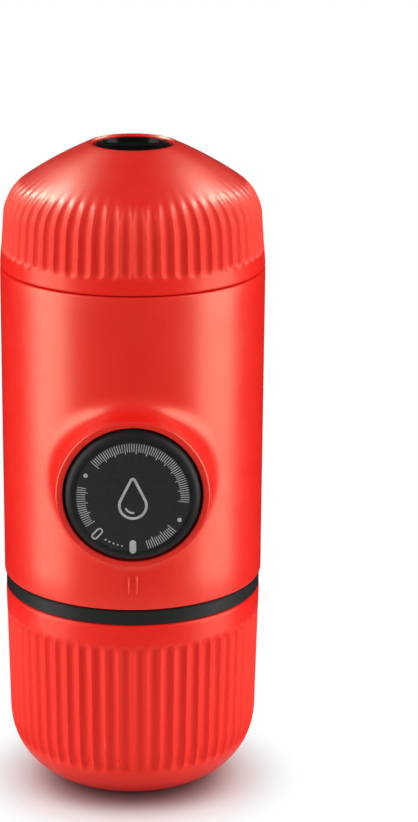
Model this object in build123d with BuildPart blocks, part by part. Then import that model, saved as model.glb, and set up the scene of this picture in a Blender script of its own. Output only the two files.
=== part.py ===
from build123d import *

import os
from math import sqrt

# A hand-pumped travel espresso maker, closed and standing on its cup.
# Millimetres. The origin is the centre of the cup's base, +Z is up, and the knob faces -Y.

# ---- Heights of the outer pieces -------------------------------------------------------
cup_height = 48.3
ring_height = 3.6  # the tank's flange, seen as a ring under the body
shadow_gap = 0.3  # open joint between the ring's edge and the body
body_height = 74.8
seam_gap = 0.2  # open joint between the body and the portafilter
dome_height = 28.8

# ---- Radii of the outer pieces ---------------------------------------------------------
body_foot_r = 30.8
body_taper = 0.2  # the body is this much larger at its top
ring_inset = 0.4  # the ring's edge inside the body's foot
cup_inset = 0.3  # the cup's rim inside the body's foot
cup_taper = 0.7  # from the cup's rim down to its corner
cup_corner_r = 17.0
dome_taper = 0.8  # from the dome's foot up to its shoulder
dome_side_height = 11.3
dome_shoulder_r = 10.5
dome_shoulder_turn = 55.3  # degrees
mouth_rim_r = 9.8
mouth_bevel = 0.4
mouth_depth = 10.0  # from the mouth's rim down to the portafilter's inner body
edge_break = 0.35  # chamfer on the shells' open edges

# ---- Walls, steps and fits -------------------------------------------------------------
cup_wall = 1.7
cup_lip_fillet = 0.51
body_wall = 2.9
liner_step = 0.7  # the body's end bores are this much larger than its middle
liner_wall = 1.25
bond_gap = 0.05  # radial gap between pieces that are glued or pressed together
run_gap = 0.08  # radial gap of a sliding or turning fit
root_overlap = 0.2  # that a joined ridge reaches into what carries it
radius_match = 0.01  # for picking edges by their radius
thread_clearance = 0.3
thread_depth = 0.9
thread_pitch = 2.6
thread_land = 1.1  # width of a thread ridge at its root
thread_lead_in = 0.4  # plain stretch before the first ridge
neck_wall = 1.5
tank_wall = 1.6
tank_collar_gap = 0.6  # between the tank's collar and the cup's mouth
tank_side_step = 1.3  # from the collar in to the tank's side
tank_corner_r = 12.0
tank_floor_gap = 5.2  # free height in the cup under the tank
tank_collar_height = 6.5
shoulder_drop = 2.0  # from the ring down to where the tank's bore starts to narrow
ring_step = 1.2  # from the ring's edge in to the step that carries the body
neck_height = 6.3
gasket_thickness = 1.0
deck_thickness = 2.5
grip_ring_height = 2.4
grip_ring_depth = 0.8
grip_ring_fillet = 0.3

# ---- Flutes ----------------------------------------------------------------------------
flute_cutter_r = 1.4
flute_depth = 0.5
cup_flute_count = 58
cup_flute_top = 42.7
cup_flute_turn = 17.0  # degrees round the cup's lower corner
dome_flute_count = 60
dome_flute_foot = 3.6  # above the portafilter's lower edge
dome_flute_turn = 50.0  # degrees round the dome's shoulder

# ---- Pump and knob ---------------------------------------------------------------------
pump_rise = 30.8  # of the pump's axis above the body's foot
stroke = 18.0
knob_r = 15.5
knob_proud = 9.2  # of the knob's face in front of the body's foot
knob_bevel = 2.35
knob_front_depth = 7.0
knob_gap = 0.35
collar_wall = 1.7
collar_depth = 1.2  # from the knob's face back to the collar's rim
collar_fillet = 4.0
collar_rim_fillet = 0.6
dial_edge = 0.15  # flat ring of the knob's face around the dial's recess
dial_thickness = 0.6
skirt_step = 2.1  # from the knob's side in to its skirt
skirt_wall = 1.8
skirt_end_gap = 1.0  # between the locked skirt and the pump's frame plate
hub_r = 6.0
hub_length = 4.0
rod_r = 3.5
bore_r = 6.3
cylinder_wall = 2.3
cylinder_end_wall = 1.5
piston_length = 7.5
seal_width = 2.3
seal_depth = 1.5
seal_back_wall = 1.6
seal_lip = 0.3
seal_lip_height = 0.9
end_space = 3.0  # between the locked piston and the end of the bore
pump_end_gap = 1.9  # between the cylinder's end and the body's bore
piston_gap = 0.5  # between the pulled piston and the frame plate
frame_thickness = 2.5
frame_width = 34.0
guide_flange_thickness = 2.5
guide_flange_corner_r = 4.0
guide_shoulder_step = 2.0
guide_shoulder_thickness = 2.5
guide_wall_gap = 0.37  # between the shoulder's back edge and the body's bore
pad_margin = 1.2  # of the pad inside the body around the guide's shoulder
gusset_length = 12.0
gusset_height = 11.0
gusset_thickness = 2.0
gusset_root = 1.0  # that a gusset reaches into the barrel and the frame plate
cylinder_end_fillet = 1.0
lug_height = 1.5
lug_length = 3.0
lug_angle = 16.0  # degrees
lug_room = 0.2
knob_turn = 43.0  # degrees between locked and unlocked
stop_room = 0.5  # degrees at each end of the knob's turn
spring_r = 8.8
spring_wire_r = 0.55
spring_turns = 6.5
screw_shank_r = 1.2
screw_head_r = 2.8
screw_head_height = 1.9
screw_room = 0.2  # around the screw in the knob
screw_head_room = 0.5  # between the screw's head and the dial
screw_seat_wall = 1.2
screw_grip = 8.0  # length of the knob screw in the piston rod
pilot_depth_room = 0.5
knob_web = 0.8  # from the rod's tip to the inner face of the knob's front wall
guide_front_gap = 0.5

# ---- Valves and tubes ------------------------------------------------------------------
port_r = 1.1
port_boss_r = 4.5
port_chamber_r = 3.2
inlet_boss_drop = 4.5  # below the cylinder
outlet_boss_rise = 7.5  # above the cylinder
valve_seat_wall = 3.5  # above the bore, under the outlet valve
poppet_r = 2.5
poppet_height = 1.2
poppet_stem_r = 0.9
poppet_stem_height = 2.6
poppet_stem_fillet = 0.3
valve_spring_r = 1.7
valve_spring_wire_r = 0.25
valve_spring_turns = 4.5
plug_height = 0.6
tube_flange_thickness = 1.5
tube_r = 2.1
tube_bore_r = 1.2
riser_margin = 1.1  # between the riser and the side of the group head's chamber
valve_disc_thickness = 0.6
flap_r = 1.9
flap_cut = 0.3
flap_hinge_width = 1.5
inlet_bend_r = 3.0
inlet_bend_start = 0.8  # below the inlet tube's flange
inlet_bend_end = 3.6
riser_bend_r = 4.0
riser_bend_start = 5.0  # above the outlet boss
riser_bend_end = 3.5  # below the group head
strainer_r = 3.6
strainer_thickness = 0.5
strainer_margin = 2.5  # between the strainer and the side of the tank's neck
strainer_hole_r = 0.35
strainer_ring_step = 1.2
vent_r = 3.0
vent_margin = 3.6
vent_wall = 0.6
vent_tail = 2.4  # of the vent valve's stem below the deck
vent_cap_height = 0.8
vent_lip = 0.4  # thickness of the slit end of the vent valve
slit_width = 0.15

# ---- Posts and screws ------------------------------------------------------------------
post_r = 2.8
post_frame_gap = 0.2
post_wall_gap = 0.34
small_screw_r = 1.1
small_head_r = 2.2
small_head_height = 1.2
small_screw_length = 9.0
driver_slot = 0.6
slot_reach = 1.3  # length of a driver's slot, in radii of the head

# ---- Group head, basket and portafilter ------------------------------------------------
group_plate_thickness = 3.0
group_boss_height = 2.5
chamber_ledge = 1.2  # that the shower screen rests on
screen_margin = 1.2  # between the shower screen and the group gasket
screen_thickness = 0.8
screen_hole_r = 0.6
screen_post_r = 2.4
screen_rings = 5
screen_hole_margin = 1.7
screen_screw_head_r = 2.6
screen_screw_head_height = 1.1
screen_screw_length = 5.0
group_gasket_margin = 0.4
group_gasket_width = 2.2
group_gasket_height = 2.2
group_gasket_stand = 1.0  # above the group head's boss
scoop_gap = 0.6
scoop_top_gap = 0.5
scoop_wall = 1.4
scoop_fillet = 0.84
basket_wall = 0.4
basket_fillet = 0.32
basket_room = 0.4  # around the basket in the portafilter
basket_depth = 21.5
basket_rim_width = 2.7
basket_rim_gap = 0.3
basket_rim_thickness = 0.6
basket_hole_r = 0.45
basket_rings = 7
basket_hole_margin = 2.3
skirt_floor_gap = 0.6  # between the portafilter's thread and the group head
brew_space = 1.7  # over the basket
insert_skirt_wall = 3.6
insert_shell_gap = 0.05
dome_wall = 2.1
insert_side_height = 8.0
insert_top_r = 14.0
insert_top_thickness = 3.8
insert_wall = 2.3
insert_corner_rise = 1.0
froth_seat_depth = 2.0
froth_valve_r = 7.8
froth_valve_thickness = 1.2
froth_slit_length = 3.0
nozzle_flange_r = 8.0
nozzle_flange_thickness = 1.8
nozzle_r = 4.2
nozzle_bore_r = 1.6
nozzle_bevel = 0.5
nozzle_spout_width = 1.0  # the bore widens by this much at the spout
nozzle_spout_depth = 1.5
nozzle_seal_r = 0.5
mouth_wall = 1.6
crown_depth = 2.8  # from the mouth's rim down to the dome's inner face
cap_gap = 0.3
cap_bore_gap = 0.3
cap_edge_r = 0.6
cap_rim_width = 1.2
cap_pocket_depth = 1.2
cap_top_drop = 0.5  # of the outlet cap's top under the mouth's rim
cap_floor = 1.0  # between the cap's pockets and its bore
cap_bar_width = 3.2

# ---- Index lines on the body -----------------------------------------------------------
index_height = 4.8
index_width = 0.5
index_spacing = 2.2
index_relief = 0.2
index_foot = 3.9  # above the body's lower edge

# ---- Levels and radii worked out from the above ----------------------------------------
body_foot_z = cup_height + ring_height + shadow_gap
body_top_z = body_foot_z + body_height
dome_foot_z = body_top_z + seam_gap
dome_top_z = dome_foot_z + dome_height
dome_shoulder_z = dome_foot_z + dome_side_height
pump_z = body_foot_z + pump_rise

body_top_r = body_foot_r + body_taper
ring_r = body_foot_r - ring_inset
cup_rim_r = body_foot_r - cup_inset
cup_side_r = cup_rim_r - cup_taper
dome_side_r = body_top_r - dome_taper
mouth_r = mouth_rim_r - mouth_bevel

middle_bore_r = body_foot_r - body_wall
end_bore_r = middle_bore_r + liner_step
liner_r = end_bore_r - bond_gap
thread_bore_r = liner_r - liner_wall
thread_crest_r = thread_bore_r - thread_clearance
neck_r = thread_crest_r - thread_depth
neck_bore_r = neck_r - neck_wall

tank_base_z = cup_wall + tank_floor_gap
tank_collar_r = cup_rim_r - cup_wall - tank_collar_gap
tank_side_r = tank_collar_r - tank_side_step
neck_top_z = body_foot_z + neck_height
deck_z = neck_top_z + gasket_thickness
deck_top_z = deck_z + deck_thickness

# The group head hangs below the dome by the height of the basket and what lies over it.
insert_top_z = dome_top_z - mouth_depth
insert_ceiling_z = insert_top_z - insert_top_thickness
basket_top_z = insert_ceiling_z - brew_space
gasket_top_z = basket_top_z - basket_depth
basket_rim_top_z = gasket_top_z + basket_rim_thickness
boss_top_z = gasket_top_z - group_gasket_stand
group_top_z = boss_top_z - group_boss_height
group_plate_z = group_top_z - group_plate_thickness

skirt_bore_r = neck_r - insert_skirt_wall
basket_rim_r = skirt_bore_r - basket_rim_gap
basket_r = basket_rim_r - basket_rim_width
scoop_r = basket_r - basket_wall - scoop_gap
scoop_height = basket_top_z - basket_wall - scoop_top_gap - boss_top_z
group_boss_r = basket_rim_r
group_gasket_outer_r = group_boss_r - group_gasket_margin
group_gasket_inner_r = group_gasket_outer_r - group_gasket_width
screen_r = group_gasket_inner_r - screen_margin
chamber_r = screen_r - chamber_ledge
screen_ring_step = (chamber_r - screen_hole_margin) / screen_rings
basket_ring_step = (basket_r - basket_wall - basket_hole_margin) / basket_rings

cylinder_r = bore_r + cylinder_wall
cylinder_end_y = middle_bore_r - pump_end_gap
bore_end_y = cylinder_end_y - cylinder_end_wall
piston_back_y = bore_end_y - end_space
piston_front_y = piston_back_y - piston_length
port_y = piston_back_y + end_space / 2
frame_y = piston_front_y - stroke - piston_gap
frame_front_y = frame_y - frame_thickness
inlet_seat_z = pump_z - cylinder_r - inlet_boss_drop
outlet_seat_z = pump_z + bore_r + valve_seat_wall
outlet_boss_z = pump_z + cylinder_r + outlet_boss_rise

knob_face_y = -(body_foot_r + knob_proud)
knob_back_y = knob_face_y + knob_front_depth
collar_y = knob_face_y + collar_depth
collar_r = knob_r + knob_gap + collar_wall
dial_r = knob_r - knob_bevel - dial_edge
dial_back_y = knob_face_y + dial_thickness
skirt_r = knob_r - skirt_step
skirt_back_y = frame_front_y - skirt_end_gap
screw_seat_y = dial_back_y + screw_head_height + screw_head_room
rod_tip_y = screw_seat_y + screw_seat_wall
knob_inner_y = rod_tip_y + knob_web

guide_outer_r = knob_r + knob_gap - bond_gap
guide_inner_r = skirt_r + run_gap
guide_shoulder_r = guide_outer_r + guide_shoulder_step
guide_front_y = knob_back_y + guide_front_gap
guide_seat_y = -sqrt((middle_bore_r - guide_wall_gap) ** 2 - guide_shoulder_r**2)
pad_r = guide_shoulder_r + pad_margin

inlet_y = neck_bore_r - strainer_margin - strainer_r
vent_y = -(neck_bore_r - vent_margin - vent_r)
riser_y = chamber_r - riser_margin - tube_r
post_x = frame_width / 2 + post_frame_gap + post_r
post_y = sqrt((middle_bore_r - post_wall_gap - post_r) ** 2 - post_x**2)
post_places = [(sx * post_x, sy * post_y) for sx in (-1, 1) for sy in (-1, 1)]
pump_axis = Axis((0, 0, pump_z), (0, 1, 0))


def facing_front(y):
    """The plane at this y that looks forward: local x is X, local y is Z, and it extrudes towards -Y."""
    return Plane(origin=(0, y, pump_z), x_dir=(1, 0, 0), z_dir=(0, -1, 0))


def flute_cutter(path_edges):
    """A round-nosed cutter that follows the given wire, with a ball at each end."""
    wire = Wire(path_edges)
    start = Plane(origin=wire @ 0, z_dir=wire % 0)
    with BuildPart() as cutter:
        with BuildSketch(start):
            Circle(flute_cutter_r)
        sweep(path=wire)
        with Locations(wire @ 0, wire @ 1):
            Sphere(flute_cutter_r)
    return cutter.part


def rims(part, *radii):
    """The circular edges of a part that have one of these radii."""
    return (
        part.edges()
        .filter_by(GeomType.CIRCLE)
        .filter_by(lambda e: any(abs(e.radius - radius) < radius_match for radius in radii))
    )


def cross_slot(head_r):
    """The outline of a driver's cross in the head of a screw."""
    with BuildSketch() as cross:
        Rectangle(head_r * slot_reach, driver_slot)
        Rectangle(driver_slot, head_r * slot_reach)
    return cross.sketch


def thread_ridges(root_z, top_z):
    """Ring sections of a male thread between two heights, as (radius, z) corner lists."""
    rings = []
    count = int((top_z - root_z) / thread_pitch)
    for i in range(count):
        z = root_z + (i + 0.5) * thread_pitch
        rings.append(
            [
                (neck_r - root_overlap, z - thread_land / 2),
                (thread_crest_r, z - thread_land / 4),
                (thread_crest_r, z + thread_land / 4),
                (neck_r - root_overlap, z + thread_land / 2),
            ]
        )
    return rings


# ---- Espresso cup ----------------------------------------------------------------------
cup_corner = (cup_side_r - cup_corner_r, cup_corner_r)
cup_inner_corner_r = cup_corner_r - cup_wall
flute_offset = flute_cutter_r - flute_depth
flute_lead = sqrt(flute_cutter_r**2 - flute_offset**2)  # the ball's reach past the path's end
cup_flute_end_z = cup_flute_top - flute_lead
cup_side_slope = (cup_rim_r - cup_side_r) / (cup_height - cup_corner_r)
cup_flute_end_r = cup_side_r + (cup_flute_end_z - cup_corner_r) * cup_side_slope

with BuildLine(Plane.XZ) as cup_flute_path:
    Line(
        (cup_flute_end_r + flute_offset, cup_flute_end_z),
        (cup_side_r + flute_offset, cup_corner_r),
    )
    CenterArc(cup_corner, cup_corner_r + flute_offset, 0, -cup_flute_turn)
cup_flute = flute_cutter(cup_flute_path.edges())

with BuildPart() as espresso_cup:
    with BuildSketch(Plane.XZ):
        with BuildLine():
            Line((0, 0), (cup_corner[0], 0))
            CenterArc(cup_corner, cup_corner_r, -90, 90)
            Line((cup_side_r, cup_corner_r), (cup_rim_r, cup_height))
            Line((cup_rim_r, cup_height), (cup_rim_r - cup_wall, cup_height))
            Line((cup_rim_r - cup_wall, cup_height), (cup_side_r - cup_wall, cup_corner_r))
            CenterArc(cup_corner, cup_inner_corner_r, 0, -90)
            Line((cup_corner[0], cup_wall), (0, cup_wall))
            Line((0, cup_wall), (0, 0))
        make_face()
    revolve(axis=Axis.Z)
    fillet(espresso_cup.edges().group_by(Axis.Z)[-1], cup_lip_fillet)
    with PolarLocations(0, cup_flute_count, start_angle=-90 + 180 / cup_flute_count):
        add(cup_flute, mode=Mode.SUBTRACT)
espresso_cup.part.label = "espresso_cup"

# ---- Water tank ------------------------------------------------------------------------
tank_corner = (tank_side_r - tank_corner_r, tank_base_z + tank_corner_r)
tank_inner_side_r = tank_side_r - tank_wall
tank_flange_top_z = body_foot_z - shadow_gap
ring_step_r = ring_r - ring_step
collar_foot_z = cup_height - tank_collar_height
grip_top_z = cup_height - (tank_collar_height - grip_ring_height) / 2
grip_foot_z = grip_top_z - grip_ring_height
grip_groove_r = tank_collar_r - grip_ring_depth

with BuildPart() as water_tank:
    with BuildSketch(Plane.XZ):
        with BuildLine():
            Line((0, tank_base_z), (tank_corner[0], tank_base_z))
            CenterArc(tank_corner, tank_corner_r, -90, 90)
            Polyline(
                (tank_side_r, tank_corner[1]),
                (tank_side_r, collar_foot_z - (tank_collar_r - tank_side_r)),
                (tank_collar_r, collar_foot_z),
                (tank_collar_r, grip_foot_z),
                (grip_groove_r, grip_foot_z),
                (grip_groove_r, grip_top_z),
                (tank_collar_r, grip_top_z),
                (tank_collar_r, cup_height),
                (ring_r, cup_height),
                (ring_r, tank_flange_top_z),
                (ring_step_r, tank_flange_top_z),
                (ring_step_r, body_foot_z),
                (neck_r, body_foot_z),
                (neck_r, neck_top_z),
                (neck_bore_r, neck_top_z),
                (neck_bore_r, cup_height),
                (tank_inner_side_r, cup_height - shoulder_drop),
                (tank_inner_side_r, tank_corner[1]),
            )
            CenterArc(tank_corner, tank_corner_r - tank_wall, 0, -90)
            Polyline(
                (tank_corner[0], tank_base_z + tank_wall),
                (0, tank_base_z + tank_wall),
                (0, tank_base_z),
            )
        make_face()
    revolve(axis=Axis.Z)
    with BuildSketch(Plane.XZ):
        for ridge in thread_ridges(body_foot_z + thread_lead_in, neck_top_z):
            with BuildLine():
                Polyline(*ridge, close=True)
            make_face()
    revolve(axis=Axis.Z)
    chamfer(rims(water_tank, ring_r), edge_break)
water_tank.part.label = "water_tank"

cup_bore_at_ring_r = cup_rim_r - cup_wall - (cup_height - grip_foot_z) * cup_side_slope
grip_ring_r = cup_bore_at_ring_r - run_gap
with BuildPart() as cup_grip_ring:
    with BuildSketch(Plane.XY.offset(grip_foot_z)):
        Circle(grip_ring_r)
        Circle(grip_groove_r, mode=Mode.SUBTRACT)
    extrude(amount=grip_ring_height)
    fillet(rims(cup_grip_ring, grip_ring_r), grip_ring_fillet)
cup_grip_ring.part.label = "cup_grip_ring"

# ---- Tank socket: the lower bulkhead, with its gasket, strainer and vent ----------------
with BuildPart() as tank_socket:
    with BuildSketch(Plane.XY.offset(body_foot_z)):
        Circle(liner_r)
    extrude(amount=deck_top_z - body_foot_z)
    with BuildSketch(Plane.XY.offset(body_foot_z)):
        Circle(thread_bore_r)
    extrude(amount=deck_z - body_foot_z, mode=Mode.SUBTRACT)
    with Locations((0, inlet_y, deck_top_z)):
        Hole(tube_r + bond_gap, depth=deck_thickness)
    with Locations((0, vent_y, deck_top_z)):
        Hole(vent_r / 2 + bond_gap, depth=deck_thickness)
    with BuildSketch(Plane.XY.offset(deck_z)):
        with Locations(*post_places):
            Circle(small_head_r + bond_gap)
    extrude(amount=small_head_height, mode=Mode.SUBTRACT)
    with BuildSketch(Plane.XY.offset(deck_z)):
        with Locations(*post_places):
            Circle(small_screw_r + bond_gap)
    extrude(amount=deck_thickness, mode=Mode.SUBTRACT)
tank_socket.part.label = "tank_socket"

with BuildPart() as tank_gasket:
    with BuildSketch(Plane.XY.offset(neck_top_z)):
        Circle(thread_bore_r - bond_gap)
        Circle(neck_bore_r, mode=Mode.SUBTRACT)
    extrude(amount=gasket_thickness)
tank_gasket.part.label = "tank_gasket"

with BuildPart() as inlet_strainer:
    with BuildSketch(Plane.XY.offset(deck_z - strainer_thickness)):
        with Locations((0, inlet_y)):
            Circle(strainer_r)
        with Locations((0, inlet_y)):
            Circle(strainer_hole_r, mode=Mode.SUBTRACT)
            for ring in (1, 2):
                with PolarLocations(ring * strainer_ring_step, 6 * ring):
                    Circle(strainer_hole_r, mode=Mode.SUBTRACT)
    extrude(amount=strainer_thickness)
inlet_strainer.part.label = "inlet_strainer"

with BuildPart() as air_vent_valve:
    with BuildSketch(Plane.XY.offset(deck_top_z)):
        with Locations((0, vent_y)):
            Circle(vent_r)
    extrude(amount=vent_cap_height)
    with BuildSketch(Plane.XY.offset(deck_z - vent_tail)):
        with Locations((0, vent_y)):
            Circle(vent_r / 2)
    extrude(amount=deck_thickness + vent_tail)
    with BuildSketch(Plane.XY.offset(deck_z - vent_tail + vent_lip)):
        with Locations((0, vent_y)):
            Circle(vent_r / 2 - vent_wall)
    extrude(amount=deck_thickness + vent_tail + vent_cap_height, mode=Mode.SUBTRACT)
    with BuildSketch(Plane.XY.offset(deck_z - vent_tail)):
        with Locations((0, vent_y)):
            Rectangle(vent_r - 2 * vent_wall, slit_width)
    extrude(amount=vent_lip, mode=Mode.SUBTRACT)
air_vent_valve.part.label = "air_vent_valve"

# ---- Body shell ------------------------------------------------------------------------
index_z = body_foot_z + index_foot + index_height / 2
index_front_y = -(body_foot_r + index_relief)

# The pad that the knob guide's shoulder seats on, cut to the round of the wall.
with BuildPart() as guide_pad:
    with BuildSketch(facing_front(guide_seat_y)):
        Circle(pad_r)
    extrude(amount=body_foot_r)
    with BuildSketch(Plane.XY.offset(body_foot_z)):
        Circle(middle_bore_r + body_wall / 2)
    extrude(amount=body_height, mode=Mode.INTERSECT)

with BuildPart() as body_shell:
    with BuildSketch(Plane.XZ):
        with BuildLine():
            Polyline(
                (0, body_foot_z), (body_foot_r, body_foot_z), (body_top_r, body_top_z), (0, body_top_z),
                close=True,
            )
        make_face()
    revolve(axis=Axis.Z)
    with BuildSketch(facing_front(-pad_r)):
        Circle(collar_r)
    extrude(amount=-collar_y - pad_r)
    collar_foot = body_shell.edges().filter_by(
        lambda e: e.geom_type not in (GeomType.LINE, GeomType.CIRCLE)
    )
    fillet(collar_foot, collar_fillet)
    collar_rim = body_shell.edges().filter_by(GeomType.CIRCLE).sort_by(Axis.Y)[0]
    fillet(collar_rim, collar_rim_fillet)
    with BuildSketch(Plane.XZ):
        with BuildLine():
            Polyline(
                (0, body_foot_z),
                (end_bore_r, body_foot_z),
                (end_bore_r, deck_top_z),
                (middle_bore_r, deck_top_z),
                (middle_bore_r, group_plate_z),
                (end_bore_r, group_plate_z),
                (end_bore_r, body_top_z),
                (0, body_top_z),
                close=True,
            )
        make_face()
    revolve(axis=Axis.Z, mode=Mode.SUBTRACT)
    add(guide_pad.part)
    with BuildSketch(facing_front(0)):
        Circle(knob_r + knob_gap)
    extrude(amount=-collar_y, mode=Mode.SUBTRACT)
    with BuildSketch(Plane.XZ.offset(-index_front_y)):
        with Locations((-index_spacing / 2, index_z), (index_spacing / 2, index_z)):
            SlotOverall(index_height, index_width, rotation=90)
    extrude(amount=index_front_y + middle_bore_r + body_wall / 2)
    chamfer(rims(body_shell, body_foot_r, body_top_r), edge_break)
body_shell.part.label = "body_shell"

# ---- Pump cylinder with its frame plate and valve bosses --------------------------------
def gusset(side):
    """Corner points of the web between the barrel and the frame plate, above (+1) or below (-1)."""
    barrel_z = pump_z + side * (cylinder_r - gusset_root)
    return [
        (frame_y - gusset_root, barrel_z),
        (frame_y + gusset_length, barrel_z),
        (frame_y - gusset_root, barrel_z + side * gusset_height),
    ]


with BuildPart() as pump_cylinder:
    with BuildSketch(facing_front(bore_end_y + cylinder_end_wall)):
        Circle(cylinder_r)
    extrude(amount=bore_end_y + cylinder_end_wall - frame_y)
    fillet(pump_cylinder.edges().sort_by(Axis.Y)[-1], cylinder_end_fillet)
    with BuildSketch(Plane.XY.offset(deck_top_z)):
        with Locations((0, frame_y - frame_thickness / 2)):
            Rectangle(frame_width, frame_thickness)
    extrude(amount=group_plate_z - deck_top_z)
    for side in (-1, 1):
        with BuildSketch(Plane.YZ):
            with BuildLine():
                Polyline(*gusset(side), close=True)
            make_face()
        extrude(amount=gusset_thickness / 2, both=True)
    with BuildSketch(Plane.XY.offset(inlet_seat_z)):
        with Locations((0, port_y)):
            Circle(port_boss_r)
    extrude(amount=outlet_boss_z - inlet_seat_z)
    with BuildSketch(facing_front(bore_end_y)):
        Circle(bore_r)
    extrude(amount=bore_end_y - frame_front_y, mode=Mode.SUBTRACT)
    with BuildSketch(Plane.XY.offset(inlet_seat_z)):
        with Locations((0, port_y)):
            Circle(port_chamber_r)
    extrude(amount=inlet_boss_drop, mode=Mode.SUBTRACT)
    with BuildSketch(Plane.XY.offset(outlet_seat_z)):
        with Locations((0, port_y)):
            Circle(port_chamber_r)
    extrude(amount=outlet_boss_z - outlet_seat_z, mode=Mode.SUBTRACT)
    with BuildSketch(Plane.XY.offset(inlet_seat_z)):
        with Locations((0, port_y)):
            Circle(port_r)
    extrude(amount=outlet_seat_z - inlet_seat_z, mode=Mode.SUBTRACT)
pump_cylinder.part.label = "pump_cylinder"

# ---- Inlet valve and tube --------------------------------------------------------------
inlet_flange_z = inlet_seat_z - valve_disc_thickness - tube_flange_thickness
inlet_route = [
    (0, port_y, inlet_flange_z + tube_flange_thickness),
    (0, port_y, inlet_flange_z - inlet_bend_start),
    (0, inlet_y, inlet_flange_z - inlet_bend_end),
    (0, inlet_y, deck_z),
]

with BuildPart() as inlet_valve:
    with BuildSketch(Plane.XY.offset(inlet_seat_z - valve_disc_thickness)):
        with Locations((0, port_y)):
            Circle(port_boss_r)
    extrude(amount=valve_disc_thickness)
    with BuildSketch(Plane.XY.offset(inlet_seat_z - valve_disc_thickness)):
        with Locations((0, port_y)):
            Circle(flap_r + flap_cut)
            Circle(flap_r, mode=Mode.SUBTRACT)
        with Locations((0, port_y - flap_r)):
            Rectangle(flap_hinge_width, flap_r, mode=Mode.SUBTRACT)
    extrude(amount=valve_disc_thickness, mode=Mode.SUBTRACT)
inlet_valve.part.label = "inlet_valve"

with BuildPart() as inlet_tube:
    with BuildLine() as inlet_path:
        FilletPolyline(*inlet_route, radius=inlet_bend_r)
    with BuildSketch(Plane(origin=inlet_path.line @ 0, z_dir=inlet_path.line % 0)):
        Circle(tube_r)
    sweep()
    with BuildSketch(Plane.XY.offset(inlet_flange_z)):
        with Locations((0, port_y)):
            Circle(port_boss_r)
    extrude(amount=tube_flange_thickness)
    with BuildLine():
        FilletPolyline(*inlet_route, radius=inlet_bend_r)
    with BuildSketch(Plane(origin=inlet_path.line @ 0, z_dir=inlet_path.line % 0)):
        Circle(tube_bore_r)
    sweep(mode=Mode.SUBTRACT)
inlet_tube.part.label = "inlet_tube"

# ---- Outlet valve and riser ------------------------------------------------------------
with BuildPart() as outlet_valve_poppet:
    with BuildSketch(Plane.XY.offset(outlet_seat_z)):
        with Locations((0, port_y)):
            Circle(poppet_r)
    extrude(amount=poppet_height)
    with BuildSketch(Plane.XY.offset(outlet_seat_z + poppet_height)):
        with Locations((0, port_y)):
            Circle(poppet_stem_r)
    extrude(amount=poppet_stem_height)
    fillet(outlet_valve_poppet.edges().sort_by(Axis.Z)[-1], poppet_stem_fillet)
outlet_valve_poppet.part.label = "outlet_valve_poppet"

valve_spring_foot_z = outlet_seat_z + poppet_height + valve_spring_wire_r
valve_spring_height = outlet_boss_z - plug_height - valve_spring_wire_r - valve_spring_foot_z
with BuildPart() as outlet_valve_spring:
    with BuildLine():
        valve_coil = Helix(
            valve_spring_height / valve_spring_turns,
            valve_spring_height,
            valve_spring_r,
            center=(0, port_y, valve_spring_foot_z),
        )
    with BuildSketch(Plane(origin=valve_coil @ 0, z_dir=valve_coil % 0)):
        Circle(valve_spring_wire_r)
    sweep(is_frenet=True)
outlet_valve_spring.part.label = "outlet_valve_spring"

riser_route = [
    (0, port_y, outlet_boss_z),
    (0, port_y, outlet_boss_z + riser_bend_start),
    (0, riser_y, group_plate_z - riser_bend_end),
    (0, riser_y, group_top_z),
]
with BuildPart() as riser_tube:
    with BuildLine() as riser_path:
        FilletPolyline(*riser_route, radius=riser_bend_r)
    with BuildSketch(Plane(origin=riser_path.line @ 0, z_dir=riser_path.line % 0)):
        Circle(tube_r)
    sweep()
    with BuildSketch(Plane.XY.offset(outlet_boss_z)):
        with Locations((0, port_y)):
            Circle(port_boss_r)
    extrude(amount=tube_flange_thickness)
    with BuildSketch(Plane.XY.offset(outlet_boss_z - plug_height)):
        with Locations((0, port_y)):
            Circle(port_chamber_r - bond_gap)
    extrude(amount=plug_height)
    with BuildLine():
        FilletPolyline(*riser_route, radius=riser_bend_r)
    with BuildSketch(Plane(origin=riser_path.line @ 0, z_dir=riser_path.line % 0)):
        Circle(tube_bore_r)
    sweep(mode=Mode.SUBTRACT)
    with BuildSketch(Plane.XY.offset(outlet_boss_z - plug_height)):
        with Locations((0, port_y)):
            Circle(tube_bore_r)
    extrude(amount=plug_height, mode=Mode.SUBTRACT)
riser_tube.part.label = "riser_tube"

# ---- Knob guide ------------------------------------------------------------------------
lug_outer_r = skirt_r + lug_height
slot_front_y = skirt_back_y - lug_length - stroke - lug_room


def ring_sector(inner_r, outer_r, start, size):
    """A sketch of part of a ring about the origin, between two radii, in degrees."""
    with BuildSketch() as sector:
        with BuildLine():
            outer = CenterArc((0, 0), outer_r, start, size)
            inner = CenterArc((0, 0), inner_r, start, size)
            Line(outer @ 0, inner @ 0)
            Line(outer @ 1, inner @ 1)
        make_face()
    return sector.sketch


lug_root_r = skirt_r - root_overlap
lug_shape = ring_sector(lug_root_r, lug_outer_r, -lug_angle / 2, lug_angle)
slot_shape = ring_sector(
    lug_root_r,
    lug_outer_r + lug_room,
    -lug_angle / 2 - stop_room,
    lug_angle + knob_turn + 2 * stop_room,
)

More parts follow.
